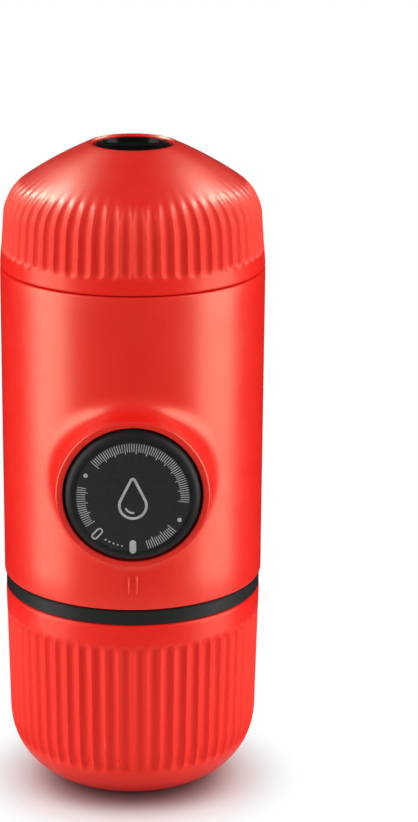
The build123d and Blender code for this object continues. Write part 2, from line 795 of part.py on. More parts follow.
with BuildPart() as knob_guide:
    with BuildSketch(facing_front(frame_front_y)):
        Circle(guide_outer_r)
    extrude(amount=frame_front_y - guide_front_y)
    with BuildSketch(facing_front(guide_seat_y + guide_shoulder_thickness)):
        Circle(guide_shoulder_r)
    extrude(amount=guide_shoulder_thickness)
    with BuildSketch(facing_front(frame_front_y)):
        RectangleRounded(frame_width, frame_width, guide_flange_corner_r)
    extrude(amount=guide_flange_thickness)
    with BuildSketch(facing_front(0)):
        Circle(guide_inner_r)
    extrude(amount=-guide_front_y, mode=Mode.SUBTRACT)
    with BuildSketch(facing_front(frame_front_y)):
        with PolarLocations(0, 2):
            add(slot_shape)
    extrude(amount=frame_front_y - slot_front_y, mode=Mode.SUBTRACT)
knob_guide.part.label = "knob_guide"

# ---- Knob and dial ---------------------------------------------------------------------
hub_back_y = knob_inner_y + hub_length
screw_hole_r = screw_shank_r + screw_room
head_room_r = screw_head_r + screw_room

with BuildPart() as knob:
    with BuildSketch(Plane.XY.offset(pump_z)):
        with BuildLine():
            Polyline(
                (rod_r + run_gap, rod_tip_y),
                (screw_hole_r, rod_tip_y),
                (screw_hole_r, screw_seat_y),
                (head_room_r, screw_seat_y),
                (head_room_r, dial_back_y),
                (dial_r + bond_gap, dial_back_y),
                (dial_r + bond_gap, knob_face_y),
                (knob_r - knob_bevel, knob_face_y),
            )
            CenterArc((knob_r - knob_bevel, knob_face_y + knob_bevel), knob_bevel, -90, 90)
            Polyline(
                (knob_r, knob_face_y + knob_bevel),
                (knob_r, knob_back_y),
                (skirt_r, knob_back_y),
                (skirt_r, skirt_back_y),
                (skirt_r - skirt_wall, skirt_back_y),
                (skirt_r - skirt_wall, knob_inner_y),
                (hub_r, knob_inner_y),
                (hub_r, hub_back_y),
                (rod_r + run_gap, hub_back_y),
                (rod_r + run_gap, rod_tip_y),
            )
        make_face()
    revolve(axis=pump_axis)
    with BuildSketch(facing_front(skirt_back_y)):
        with PolarLocations(0, 2):
            add(lug_shape)
    extrude(amount=lug_length)
knob.part.label = "knob"

with BuildPart() as dial_disc:
    with BuildSketch(facing_front(dial_back_y)):
        Circle(dial_r)
    extrude(amount=dial_thickness)
dial_disc.part.label = "dial_disc"

# ---- Piston, its seal and the knob screw -----------------------------------------------
piston_head_r = bore_r - 2 * run_gap
pilot_r = screw_shank_r + bond_gap
groove_r = piston_head_r - seal_depth
groove_front_y = piston_back_y - seal_width - seal_back_wall
groove_back_y = piston_back_y - seal_back_wall
screw_end_y = rod_tip_y + screw_grip

with BuildPart() as piston:
    with BuildSketch(Plane.XY.offset(pump_z)):
        with BuildLine():
            Polyline(
                (pilot_r, rod_tip_y),
                (rod_r, rod_tip_y),
                (rod_r, piston_front_y),
                (piston_head_r, piston_front_y),
                (piston_head_r, groove_front_y),
                (groove_r, groove_front_y),
                (groove_r, groove_back_y),
                (piston_head_r, groove_back_y),
                (piston_head_r, piston_back_y),
                (0, piston_back_y),
                (0, screw_end_y + pilot_depth_room),
                (pilot_r, screw_end_y + pilot_depth_room),
                close=True,
            )
        make_face()
    revolve(axis=pump_axis)
piston.part.label = "piston"

seal_r = bore_r - run_gap
seal_inner_r = groove_r + bond_gap
seal_middle_r = (seal_r + seal_inner_r) / 2
with BuildPart() as piston_seal:
    with BuildSketch(Plane.XY.offset(pump_z)):
        with BuildLine():
            Polyline(
                (seal_inner_r, groove_front_y + bond_gap),
                (seal_r - seal_lip, groove_front_y + bond_gap),
                (seal_r, groove_back_y - seal_lip_height),
                (seal_r, groove_back_y - bond_gap),
                (seal_middle_r + seal_lip, groove_back_y - bond_gap),
                (seal_middle_r, groove_back_y - seal_lip_height),
                (seal_middle_r - seal_lip, groove_back_y - bond_gap),
                (seal_inner_r, groove_back_y - bond_gap),
                close=True,
            )
        make_face()
    revolve(axis=pump_axis)
piston_seal.part.label = "piston_seal"

with BuildPart() as knob_screw:
    with BuildSketch(facing_front(screw_end_y)):
        Circle(screw_shank_r)
    extrude(amount=screw_end_y - screw_seat_y)
    with BuildSketch(facing_front(screw_seat_y)):
        Circle(screw_head_r)
    extrude(amount=screw_head_height)
    with BuildSketch(facing_front(screw_seat_y - screw_head_height / 2)):
        add(cross_slot(screw_head_r))
    extrude(amount=screw_head_height / 2, mode=Mode.SUBTRACT)
knob_screw.part.label = "knob_screw"

spring_back_y = frame_front_y - spring_wire_r - bond_gap
spring_length = spring_back_y - (knob_inner_y + spring_wire_r + bond_gap)
with BuildPart() as return_spring:
    with BuildLine():
        coil = Helix(
            spring_length / spring_turns,
            spring_length,
            spring_r,
            center=(0, spring_back_y, pump_z),
            direction=(0, -1, 0),
        )
    with BuildSketch(Plane(origin=coil @ 0, z_dir=coil % 0)):
        Circle(spring_wire_r)
    sweep(is_frenet=True)
return_spring.part.label = "return_spring"

# ---- Spacer posts and the screws that hold them ----------------------------------------
with BuildPart() as spacer_posts:
    with BuildSketch(Plane.XY.offset(deck_top_z)):
        with Locations(*post_places):
            Circle(post_r)
    extrude(amount=group_plate_z - deck_top_z)
    for foot_z in (deck_top_z, group_plate_z - small_screw_length):
        with BuildSketch(Plane.XY.offset(foot_z)):
            with Locations(*post_places):
                Circle(small_screw_r + bond_gap)
        extrude(amount=small_screw_length, mode=Mode.SUBTRACT)
spacer_posts.part.label = "spacer_posts"

with BuildPart() as deck_screws:
    with BuildSketch(Plane.XY.offset(deck_z)):
        with Locations(*post_places):
            Circle(small_head_r)
    extrude(amount=small_head_height)
    with BuildSketch(Plane.XY.offset(deck_z)):
        with Locations(*post_places):
            Circle(small_screw_r)
    extrude(amount=small_screw_length)
    with BuildSketch(Plane.XY.offset(deck_z)):
        with Locations(*post_places):
            add(cross_slot(small_head_r))
    extrude(amount=small_head_height / 2, mode=Mode.SUBTRACT)
deck_screws.part.label = "deck_screws"

with BuildPart() as group_screws:
    with BuildSketch(Plane.XY.offset(group_top_z)):
        with Locations(*post_places):
            Circle(small_head_r)
    extrude(amount=-small_head_height)
    with BuildSketch(Plane.XY.offset(group_top_z)):
        with Locations(*post_places):
            Circle(small_screw_r)
    extrude(amount=-small_screw_length)
    with BuildSketch(Plane.XY.offset(group_top_z)):
        with Locations(*post_places):
            add(cross_slot(small_head_r))
    extrude(amount=-small_head_height / 2, mode=Mode.SUBTRACT)
group_screws.part.label = "group_screws"

# ---- Group head: the upper bulkhead ----------------------------------------------------
screen_foot_z = boss_top_z - screen_thickness
gasket_foot_z = gasket_top_z - group_gasket_height
screen_screw_end_z = boss_top_z - screen_screw_length

with BuildPart() as group_head:
    with BuildSketch(Plane.XY.offset(group_plate_z)):
        Circle(liner_r)
    extrude(amount=body_top_z - seam_gap - group_plate_z)
    with BuildSketch(Plane.XY.offset(group_top_z)):
        Circle(thread_bore_r)
    extrude(amount=body_top_z - group_top_z, mode=Mode.SUBTRACT)
    with BuildSketch(Plane.XY.offset(group_top_z)):
        Circle(group_boss_r)
    extrude(amount=group_boss_height)
    with BuildSketch(Plane.XY.offset(group_top_z)):
        Circle(chamber_r)
        Circle(screen_post_r, mode=Mode.SUBTRACT)
    extrude(amount=group_boss_height, mode=Mode.SUBTRACT)
    with BuildSketch(Plane.XY.offset(screen_foot_z)):
        Circle(screen_r + bond_gap)
    extrude(amount=screen_thickness, mode=Mode.SUBTRACT)
    with BuildSketch(Plane.XY.offset(gasket_foot_z)):
        Circle(group_gasket_outer_r + bond_gap)
        Circle(group_gasket_inner_r - bond_gap, mode=Mode.SUBTRACT)
    extrude(amount=boss_top_z - gasket_foot_z, mode=Mode.SUBTRACT)
    with BuildSketch(Plane.XY.offset(screen_screw_end_z - screw_room)):
        Circle(small_screw_r + bond_gap)
    extrude(amount=screen_screw_length, mode=Mode.SUBTRACT)
    with BuildSketch(Plane.XY.offset(group_plate_z)):
        with Locations((0, riser_y)):
            Circle(tube_r + bond_gap)
        with Locations(*post_places):
            Circle(small_screw_r + bond_gap)
    extrude(amount=group_plate_thickness, mode=Mode.SUBTRACT)
    with BuildSketch(Plane.XY.offset(group_top_z)):
        with Locations(*post_places):
            Circle(small_head_r + bond_gap)
    extrude(amount=-small_head_height, mode=Mode.SUBTRACT)
group_head.part.label = "group_head"

with BuildPart() as shower_screen:
    with BuildSketch(Plane.XY.offset(screen_foot_z)):
        Circle(screen_r)
        Circle(small_screw_r + bond_gap, mode=Mode.SUBTRACT)
        for ring in range(1, screen_rings + 1):
            with PolarLocations(ring * screen_ring_step, 6 * ring):
                Circle(screen_hole_r, mode=Mode.SUBTRACT)
    extrude(amount=screen_thickness)
shower_screen.part.label = "shower_screen"

with BuildPart() as screen_screw:
    with BuildSketch(Plane.XY.offset(screen_screw_end_z)):
        Circle(small_screw_r)
    extrude(amount=screen_screw_length)
    with BuildSketch(Plane.XY.offset(boss_top_z)):
        Circle(screen_screw_head_r)
    extrude(amount=screen_screw_head_height)
    with BuildSketch(Plane.XY.offset(boss_top_z + screen_screw_head_height / 2)):
        add(cross_slot(screen_screw_head_r))
    extrude(amount=screen_screw_head_height / 2, mode=Mode.SUBTRACT)
screen_screw.part.label = "screen_screw"

with BuildPart() as group_gasket:
    with BuildSketch(Plane.XY.offset(gasket_foot_z)):
        Circle(group_gasket_outer_r)
        Circle(group_gasket_inner_r, mode=Mode.SUBTRACT)
    extrude(amount=group_gasket_height)
group_gasket.part.label = "group_gasket"

# ---- Coffee scoop and filter basket, both mouth down -----------------------------------
with BuildPart() as coffee_scoop:
    with BuildSketch(Plane.XY.offset(boss_top_z)):
        Circle(scoop_r)
    extrude(amount=scoop_height)
    with BuildSketch(Plane.XY.offset(boss_top_z)):
        Circle(scoop_r - scoop_wall)
    extrude(amount=scoop_height - scoop_wall, mode=Mode.SUBTRACT)
    fillet(coffee_scoop.edges().sort_by(Axis.Z)[-1], scoop_fillet)
coffee_scoop.part.label = "coffee_scoop"

basket_hole_places = [(0.0, 1)] + [
    (ring * basket_ring_step, 6 * ring) for ring in range(1, basket_rings + 1)
]
with BuildPart() as filter_basket:
    with BuildSketch(Plane.XZ):
        with BuildLine():
            Polyline(
                (0, basket_top_z - basket_wall),
                (basket_r - basket_wall, basket_top_z - basket_wall),
                (basket_r - basket_wall, gasket_top_z),
                (basket_rim_r, gasket_top_z),
                (basket_rim_r, basket_rim_top_z),
                (basket_r, basket_rim_top_z),
                (basket_r, basket_top_z),
                (0, basket_top_z),
                close=True,
            )
        make_face()
    revolve(axis=Axis.Z)
    fillet(filter_basket.edges().sort_by(Axis.Z)[-1], basket_fillet)
    with BuildSketch(Plane.XY.offset(basket_top_z - basket_wall)):
        for ring_r, count in basket_hole_places:
            with PolarLocations(ring_r, count):
                Circle(basket_hole_r)
    extrude(amount=basket_wall, mode=Mode.SUBTRACT)
filter_basket.part.label = "filter_basket"

# ---- Portafilter -----------------------------------------------------------------------
skirt_foot_z = group_top_z + skirt_floor_gap
basket_room_r = basket_r + basket_room
dome_side_slope = (body_top_r - dome_side_r) / dome_side_height
insert_foot_r = body_top_r - dome_wall - insert_shell_gap
insert_side_top_r = insert_foot_r - insert_side_height * dome_side_slope
froth_seat_z = insert_top_z - froth_seat_depth
nozzle_foot_z = froth_seat_z + froth_valve_thickness
nozzle_flange_top_z = nozzle_foot_z + nozzle_flange_thickness
cap_top_z = dome_top_z - cap_top_drop
cap_ceiling_z = cap_top_z - cap_pocket_depth - cap_floor
nozzle_top_z = cap_ceiling_z - cap_bore_gap

with BuildPart() as portafilter_insert:
    with BuildSketch(Plane.XZ):
        with BuildLine():
            Polyline(
                (skirt_bore_r, skirt_foot_z),
                (neck_r, skirt_foot_z),
                (neck_r, dome_foot_z),
                (insert_foot_r, dome_foot_z),
                (insert_side_top_r, dome_foot_z + insert_side_height),
                (basket_room_r + insert_wall, insert_ceiling_z + insert_corner_rise),
                (insert_top_r, insert_top_z),
                (nozzle_flange_r + bond_gap, insert_top_z),
                (nozzle_flange_r + bond_gap, froth_seat_z),
                (nozzle_r, froth_seat_z),
                (nozzle_r, insert_ceiling_z),
                (basket_room_r, insert_ceiling_z),
                (basket_room_r, basket_rim_top_z),
                (skirt_bore_r, basket_rim_top_z),
                close=True,
            )
        make_face()
    revolve(axis=Axis.Z)
    with BuildSketch(Plane.XZ):
        for ridge in thread_ridges(skirt_foot_z + thread_lead_in, body_top_z - thread_land):
            with BuildLine():
                Polyline(*ridge, close=True)
            make_face()
    revolve(axis=Axis.Z)
    with BuildSketch(Plane.XY.offset(dome_foot_z + insert_wall)):
        Circle(insert_foot_r - insert_wall)
        Circle(basket_room_r + insert_wall, mode=Mode.SUBTRACT)
    extrude(amount=insert_top_z - dome_foot_z, mode=Mode.SUBTRACT)
portafilter_insert.part.label = "portafilter_insert"

dome_corner = (dome_side_r - dome_shoulder_r, dome_shoulder_z)
inner_side_top_r = dome_side_r - dome_wall
dome_flute_foot_z = dome_foot_z + dome_flute_foot + flute_lead
dome_flute_foot_r = body_top_r - (dome_flute_foot_z - dome_foot_z) * dome_side_slope

with BuildLine(Plane.XZ) as dome_flute_path:
    Line(
        (dome_flute_foot_r + flute_offset, dome_flute_foot_z),
        (dome_side_r + flute_offset, dome_shoulder_z),
    )
    CenterArc(dome_corner, dome_shoulder_r + flute_offset, 0, dome_flute_turn)
dome_flute = flute_cutter(dome_flute_path.edges())

with BuildPart() as portafilter_shell:
    with BuildSketch(Plane.XZ):
        with BuildLine():
            Line((body_top_r, dome_foot_z), (dome_side_r, dome_shoulder_z))
            shoulder = CenterArc(dome_corner, dome_shoulder_r, 0, dome_shoulder_turn)
            TangentArc(shoulder @ 1, (mouth_rim_r, dome_top_z), tangent=shoulder % 1)
            Polyline(
                (mouth_rim_r, dome_top_z),
                (mouth_r, dome_top_z - mouth_bevel),
                (mouth_r, insert_top_z),
                (mouth_r + mouth_wall, insert_top_z),
                (mouth_r + mouth_wall, dome_top_z - crown_depth),
            )
            inner_shoulder = CenterArc(
                dome_corner, dome_shoulder_r - dome_wall, 0, dome_shoulder_turn
            )
            TangentArc(
                inner_shoulder @ 1,
                (mouth_r + mouth_wall, dome_top_z - crown_depth),
                tangent=inner_shoulder % 1,
            )
            Polyline(
                (inner_side_top_r, dome_shoulder_z),
                (body_top_r - dome_wall, dome_foot_z),
                (body_top_r, dome_foot_z),
            )
        make_face()
    revolve(axis=Axis.Z)
    chamfer(rims(portafilter_shell, body_top_r), edge_break)
    with PolarLocations(0, dome_flute_count, start_angle=-90 + 180 / dome_flute_count):
        add(dome_flute, mode=Mode.SUBTRACT)
portafilter_shell.part.label = "portafilter_shell"

# ---- Froth valve, nozzle and outlet cap ------------------------------------------------
with BuildPart() as froth_valve:
    with BuildSketch(Plane.XY.offset(froth_seat_z)):
        Circle(froth_valve_r)
    extrude(amount=froth_valve_thickness)
    with BuildSketch(Plane.XY.offset(froth_seat_z)):
        Rectangle(froth_slit_length, slit_width)
        Rectangle(slit_width, froth_slit_length)
    extrude(amount=froth_valve_thickness, mode=Mode.SUBTRACT)
froth_valve.part.label = "froth_valve"

cap_bore_r = nozzle_r + cap_bore_gap
cap_r = mouth_r - cap_gap
nozzle_seal_z = (nozzle_flange_top_z + nozzle_top_z) / 2
nozzle_seal_centre_r = cap_bore_r - run_gap - nozzle_seal_r

seal_groove_r = nozzle_seal_centre_r - nozzle_seal_r - bond_gap
seal_groove_half = nozzle_seal_r + bond_gap

with BuildPart() as outlet_nozzle:
    with BuildSketch(Plane.XZ):
        with BuildLine():
            Polyline(
                (nozzle_bore_r, nozzle_foot_z),
                (nozzle_flange_r, nozzle_foot_z),
                (nozzle_flange_r, nozzle_flange_top_z),
                (nozzle_r, nozzle_flange_top_z),
                (nozzle_r, nozzle_seal_z - seal_groove_half),
                (seal_groove_r, nozzle_seal_z - seal_groove_half),
                (seal_groove_r, nozzle_seal_z + seal_groove_half),
                (nozzle_r, nozzle_seal_z + seal_groove_half),
                (nozzle_r, nozzle_top_z - nozzle_bevel),
                (nozzle_r - nozzle_bevel, nozzle_top_z),
                (nozzle_bore_r + nozzle_spout_width, nozzle_top_z),
                (nozzle_bore_r, nozzle_top_z - nozzle_spout_depth),
                close=True,
            )
        make_face()
    revolve(axis=Axis.Z)
outlet_nozzle.part.label = "outlet_nozzle"

with BuildPart() as nozzle_seal:
    with BuildSketch(Plane.XZ):
        with Locations((nozzle_seal_centre_r, nozzle_seal_z)):
            Circle(nozzle_seal_r)
    revolve(axis=Axis.Z)
nozzle_seal.part.label = "nozzle_seal"

with BuildPart() as outlet_cap:
    with BuildSketch(Plane.XY.offset(nozzle_flange_top_z)):
        Circle(cap_r)
    extrude(amount=cap_top_z - nozzle_flange_top_z)
    fillet(outlet_cap.edges().sort_by(Axis.Z)[-1], cap_edge_r)
    with BuildSketch(Plane.XY.offset(cap_top_z - cap_pocket_depth)):
        Circle(cap_r - cap_rim_width)
        Rectangle(2 * cap_r, cap_bar_width, mode=Mode.SUBTRACT)
    extrude(amount=cap_pocket_depth, mode=Mode.SUBTRACT)
    with BuildSketch(Plane.XY.offset(nozzle_flange_top_z)):
        Circle(cap_bore_r)
    extrude(amount=cap_ceiling_z - nozzle_flange_top_z, mode=Mode.SUBTRACT)
outlet_cap.part.label = "outlet_cap"

# ---- Export ----------------------------------------------------------------------------
pieces = [
    espresso_cup, water_tank, cup_grip_ring, tank_socket,
    tank_gasket, inlet_strainer, air_vent_valve, body_shell,
    pump_cylinder, inlet_valve, inlet_tube, outlet_valve_poppet,
    outlet_valve_spring, riser_tube, knob_guide, knob,
    dial_disc, piston, piston_seal, knob_screw,
    return_spring, spacer_posts, deck_screws, group_head,
    group_screws, shower_screen, screen_screw, group_gasket,
    coffee_scoop, filter_basket, portafilter_insert, portafilter_shell,
    froth_valve, outlet_nozzle, nozzle_seal, outlet_cap,
]
os.makedirs("parts", exist_ok=True)
for piece in pieces:
    export_step(piece.part, f"parts/{piece.part.label}.step")
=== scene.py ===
"""Looks for the hand-pumped travel espresso maker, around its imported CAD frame.

Outlines are in millimetres, in the CAD's own frame: the origin is the centre of the cup's base,
+Z is up and the knob faces -Y. Meshes are made in metres.
"""

import math

import bpy
import numpy as np
from mathutils import Matrix, Vector


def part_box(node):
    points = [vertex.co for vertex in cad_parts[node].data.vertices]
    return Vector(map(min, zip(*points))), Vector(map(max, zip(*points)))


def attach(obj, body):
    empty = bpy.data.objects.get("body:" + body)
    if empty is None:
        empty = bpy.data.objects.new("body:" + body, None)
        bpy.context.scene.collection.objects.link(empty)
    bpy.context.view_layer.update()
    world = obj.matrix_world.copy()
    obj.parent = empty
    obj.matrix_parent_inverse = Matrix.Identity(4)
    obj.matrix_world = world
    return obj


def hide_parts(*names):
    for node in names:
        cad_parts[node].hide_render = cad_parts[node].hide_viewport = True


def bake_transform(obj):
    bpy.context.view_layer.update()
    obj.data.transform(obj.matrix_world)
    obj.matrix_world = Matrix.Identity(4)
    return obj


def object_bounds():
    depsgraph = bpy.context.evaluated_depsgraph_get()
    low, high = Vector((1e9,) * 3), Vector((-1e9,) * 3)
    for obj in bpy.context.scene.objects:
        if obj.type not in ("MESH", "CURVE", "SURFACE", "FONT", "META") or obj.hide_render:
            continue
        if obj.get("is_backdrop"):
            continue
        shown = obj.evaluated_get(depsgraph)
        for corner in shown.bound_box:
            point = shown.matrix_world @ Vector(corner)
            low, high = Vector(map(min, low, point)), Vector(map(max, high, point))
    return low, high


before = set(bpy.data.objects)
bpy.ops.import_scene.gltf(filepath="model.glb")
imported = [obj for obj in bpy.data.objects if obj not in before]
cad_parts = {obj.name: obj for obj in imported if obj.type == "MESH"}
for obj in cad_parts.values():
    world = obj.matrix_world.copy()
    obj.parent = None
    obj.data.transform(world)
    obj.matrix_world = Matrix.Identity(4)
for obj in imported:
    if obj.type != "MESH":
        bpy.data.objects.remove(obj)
cad_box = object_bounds()

MM = 0.001
TINY = 1e-6  # millimetres, for heights and radii that count as the same

# ---- Sizes read from the frame ---------------------------------------------------------


def box_mm(node):
    """The lowest and highest corner of a CAD node, in millimetres."""
    low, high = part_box(node)
    return [v / MM for v in low], [v / MM for v in high]


shell_low, shell_high = box_mm("body_shell")
dome_low, dome_high = box_mm("portafilter_shell")
knob_low, knob_high = box_mm("knob")
spring_low, spring_high = box_mm("return_spring")
valve_spring_low, valve_spring_high = box_mm("outlet_valve_spring")

cup_rim_z = box_mm("espresso_cup")[1][2]
body_foot_z = shell_low[2]
body_top_z = shell_high[2]
dome_foot_z = dome_low[2]
dome_top_z = dome_high[2]
insert_top_z = box_mm("portafilter_insert")[1][2]
deck_top_z = box_mm("tank_socket")[1][2]
group_plate_z = box_mm("group_head")[0][2]
knob_face_y = knob_low[1]
pump_z = (knob_low[2] + knob_high[2]) / 2
knob_r = (knob_high[0] - knob_low[0]) / 2
valve_spring_y = (valve_spring_low[1] + valve_spring_high[1]) / 2

# ---- Sizes shared with the CAD model ---------------------------------------------------
CUP_SIDE_R = 29.8
CUP_RIM_R = 30.5
CUP_CORNER_R = 17.0
CUP_WALL = 1.7
BODY_FOOT_R = 30.8
BODY_TOP_R = 31.0
BODY_BORE_R = 27.9
BODY_END_BORE_R = 28.6
DOME_SIDE_R = 30.2
DOME_SIDE_HEIGHT = 11.3
DOME_SHOULDER_R = 10.5
DOME_SHOULDER_TURN = 55.3  # degrees
DOME_WALL = 2.1
MOUTH_RIM_R = 9.8
MOUTH_R = 9.4
MOUTH_WALL = 1.6
CROWN_DEPTH = 2.8
EDGE_ROUND = 0.5
KNOB_GAP = 0.35
COLLAR_R = 17.55
COLLAR_DEPTH = 1.2
COLLAR_FILLET = 4.0
COLLAR_RIM_ROUND = 0.6
GUIDE_SEAT_Y = -21.0
PAD_R = 19.0
CUP_FLUTES = 58
DOME_FLUTES = 60
CUP_FLUTE_TOP = 42.7
DOME_FLUTE_FOOT = 3.6  # above the dome's lower edge
INDEX_FOOT = 3.9  # above the body's lower edge
SPRING_R = 8.8
SPRING_WIRE_R = 0.55
SPRING_TURNS = 6.5
VALVE_SPRING_R = 1.7
VALVE_SPRING_WIRE_R = 0.25
VALVE_SPRING_TURNS = 4.5

# ---- Sizes of the scene's own ----------------------------------------------------------
# The flutes, the lip, the cup's base and the index lines are drawn finer than in the solids.
FLUTE_DEPTH = 0.72
FLUTE_HALF_WIDTH = 1.5
FLUTE_SOFTNESS = 0.24  # of the crests, as a share of the depth
CUP_FLUTE_TURN = 25.0  # degrees round the cup's lower corner
DOME_FLUTE_TURN = 55.0  # degrees round the dome's shoulder
DOME_FLUTE_FADE = 5.0  # the length over which a dome flute runs out at its top
COLUMNS_PER_FLUTE = 14
CREST_CROWDING = 0.5  # how much closer the columns lie on a flute's crest
CUP_RIM_FLAT = 0.1  # between the two rounds of the cup's rim
LIP_WIDTH = 0.5  # of the sloped lip round the dome's mouth
LIP_DROP = 0.15  # how far the lip falls outwards
LIP_ROUND = 0.25
MOUTH_ROUND = 0.2
GATE_R = 2.5  # of the recess in the middle of the cup's base
GATE_DEPTH = 0.35
GROOVE_R = (10.4, 11.6)  # of the ring groove in the cup's base
GROOVE_DEPTH = 0.3
BASE_SLOPE = 0.3  # the width of the sloped side of recess and groove
BASE_ROUND = 0.1
BORE_ROUND = 0.3  # of the collar's inner rim
PAD_INSET = 0.8  # of a row of points just inside the edge of the guide's seat
PAD_STEP = 0.25  # the width of the step from that edge back to the bore
INDEX_HEIGHT = 4.6
INDEX_WIDTH = 0.46
INDEX_SPACING = 1.8
# How far each row of an index line's section lies inside its outline, and outside the body.
INDEX_SECTION = ((0, -0.3), (0, 0.05), (0.03, 0.15), (0.09, 0.22), (0.17, 0.26))
SHARP_ANGLE = 35.0  # a steeper edge between two faces is drawn sharp


# ---- Outlines --------------------------------------------------------------------------


def arc_points(centre, radius, start, turn, step):
    """Points round an arc, with its start, its turn and the step between points in degrees."""
    count = max(2, math.ceil(abs(turn) / step))
    angles = [math.radians(start + turn * i / count) for i in range(count + 1)]
    return [
        (centre[0] + radius * math.cos(a), centre[1] + radius * math.sin(a)) for a in angles
    ]


def tangent_arc(start, heading, end, count):
    """An arc in count steps that leaves start at a heading in degrees and ends at end."""
    sx, sy = start
    dx, dy = end[0] - sx, end[1] - sy
    nx, ny = -math.sin(math.radians(heading)), math.cos(math.radians(heading))
    radius = (dx * dx + dy * dy) / (2 * (dx * nx + dy * ny))
    cx, cy = sx + radius * nx, sy + radius * ny
    first = math.atan2(sy - cy, sx - cx)
    turn = (math.atan2(end[1] - cy, end[0] - cx) - first + math.pi) % (2 * math.pi) - math.pi
    first, turn = math.degrees(first), math.degrees(turn)
    return arc_points((cx, cy), abs(radius), first, turn, abs(turn) / count)


def rounded(corners):
    """An open outline through (x, y, radius) corners, each corner rounded by its radius."""
    points = [corners[0][:2]]
    for before, (x, y, radius), after in zip(corners, corners[1:], corners[2:]):
        if not radius:
            points.append((x, y))
            continue
        here = Vector((x, y))
        back = (Vector(before[:2]) - here).normalized()
        ahead = (Vector(after[:2]) - here).normalized()
        half = back.angle(ahead) / 2
        centre = here + (back + ahead).normalized() * (radius / math.sin(half))
        first = here + back * (radius / math.tan(half)) - centre
        last = here + ahead * (radius / math.tan(half)) - centre
        start = math.atan2(first.y, first.x)
        turn = (math.atan2(last.y, last.x) - start + math.pi) % (2 * math.pi) - math.pi
        points += arc_points(centre, radius, math.degrees(start), math.degrees(turn), step=15)
    return points + [corners[-1][:2]]


def divided(points, step):
    """The same outline with no stretch longer than step."""
    result = []
    for (x0, y0), (x1, y1) in zip(points, points[1:]):
        pieces = max(1, math.ceil(math.hypot(x1 - x0, y1 - y0) / step))
        result += [
            (x0 + (x1 - x0) * i / pieces, y0 + (y1 - y0) * i / pieces) for i in range(pieces)
        ]
    return result + [points[-1]]


def length_at(outline, test):
    """The length along an outline to its first point that passes the test."""
    total = 0.0
    for before, point in zip([outline[0]] + outline, outline):
        total += math.dist(before, point)
        if test(*point):
            return total
    raise ValueError("no point of the outline passes the test")


# ---- Meshes ----------------------------------------------------------------------------


def new_piece(name, vertices, faces):
    """A smooth-shaded mesh object from vertices in millimetres."""
    mesh = bpy.data.meshes.new(name)
    mesh.from_pydata([tuple(c * MM for c in v) for v in vertices], [], faces)
    mesh.validate()
    mesh.polygons.foreach_set("use_smooth", [True] * len(mesh.polygons))
    mesh.set_sharp_from_angle(angle=math.radians(SHARP_ANGLE))
    piece = bpy.data.objects.new(name, mesh)
    bpy.context.scene.collection.objects.link(piece)
    return piece


def outward_normals(points, closed):
    """The unit normal on the right-hand side of the outline at each point."""
    p = np.array(points, float)
    if closed:
        along = np.roll(p, -1, 0) - np.roll(p, 1, 0)
    else:
        along = np.gradient(p, axis=0)
    along /= np.maximum(np.linalg.norm(along, axis=1, keepdims=True), 1e-9)
    return np.stack([along[:, 1], -along[:, 0]], 1)


def lathe(name, outline, angles, relief, closed=False):
    """Spins an outline of (radius, height) points about Z, with a column at each angle.

    relief(radius, length along the outline, angles) gives how far each point sinks into the
    surface, and how far that row lies in the fluted band, which the fluted attribute keeps. A
    point at radius 0 becomes a pole. The outline runs anticlockwise round the solid.
    """
    normals = outward_normals(outline, closed)
    steps = [math.dist(a, b) for a, b in zip(outline, outline[1:])]
    lengths = np.concatenate([[0.0], np.cumsum(steps)])
    columns = len(angles)
    vertices, rows, fluted = [], [], []
    for (radius, height), normal, length in zip(outline, normals, lengths):
        if radius < TINY:
            rows.append([len(vertices)] * columns)
            vertices.append((0.0, 0.0, height))
            fluted.append(0.0)
            continue
        sink, share = relief(radius, length, angles)
        rows.append(list(range(len(vertices), len(vertices) + columns)))
        fluted += [share] * columns
        r = radius - sink * normal[0]
        vertices += list(zip(r * np.cos(angles), r * np.sin(angles), height - sink * normal[1]))
    faces = []
    pairs = list(zip(rows, rows[1:])) + ([(rows[-1], rows[0])] if closed else [])
    for low, high in pairs:
        faces += quads(low, high)
    piece = new_piece(name, vertices, faces)
    band = piece.data.attributes.new("fluted", "FLOAT", "POINT")
    band.data.foreach_set("value", fluted)
    return piece


def quads(low, high):
    """Faces between two closed rows of as many vertices, with triangles round a pole."""
    faces = []
    for i in range(len(low)):
        face = tuple(dict.fromkeys((low[i - 1], low[i], high[i], high[i - 1])))
        if len(face) > 2:
            faces.append(face)
    return faces


def flute_angles(count):
    """The angles of a fluted piece's columns, closer together on each crest."""
    turns = np.arange(count * COLUMNS_PER_FLUTE) * 2 * math.pi / (count * COLUMNS_PER_FLUTE)
    return turns - math.pi / 2 - CREST_CROWDING * np.sin(count * turns) / count


def flutes(count, first, last, fade=0.0):
    """A relief of round-bottomed grooves between two lengths along an outline.

    A ridge faces the front. Each groove starts with a rounded end, and it ends in another or,
    where fade is given, runs out to a point over that length.
    """
    pitch = 2 * math.pi / count
    nose = FLUTE_HALF_WIDTH**2 / FLUTE_DEPTH

    def relief(radius, length, angles):
        offset = ((angles + math.pi / 2) % pitch - pitch / 2) * radius
        depth = FLUTE_DEPTH - max(0.0, first - length) ** 2 / nose
        if fade:
            depth = min(depth, FLUTE_DEPTH * (last - length) / fade)
        else:
            depth -= max(0.0, length - last) ** 2 / nose
        x = (depth - offset**2 / nose) / FLUTE_DEPTH
        sink = FLUTE_DEPTH * (x + np.sqrt(x * x + FLUTE_SOFTNESS**2)) / 2
        return sink, min(1.0, max(0.0, depth / FLUTE_DEPTH))

    return relief


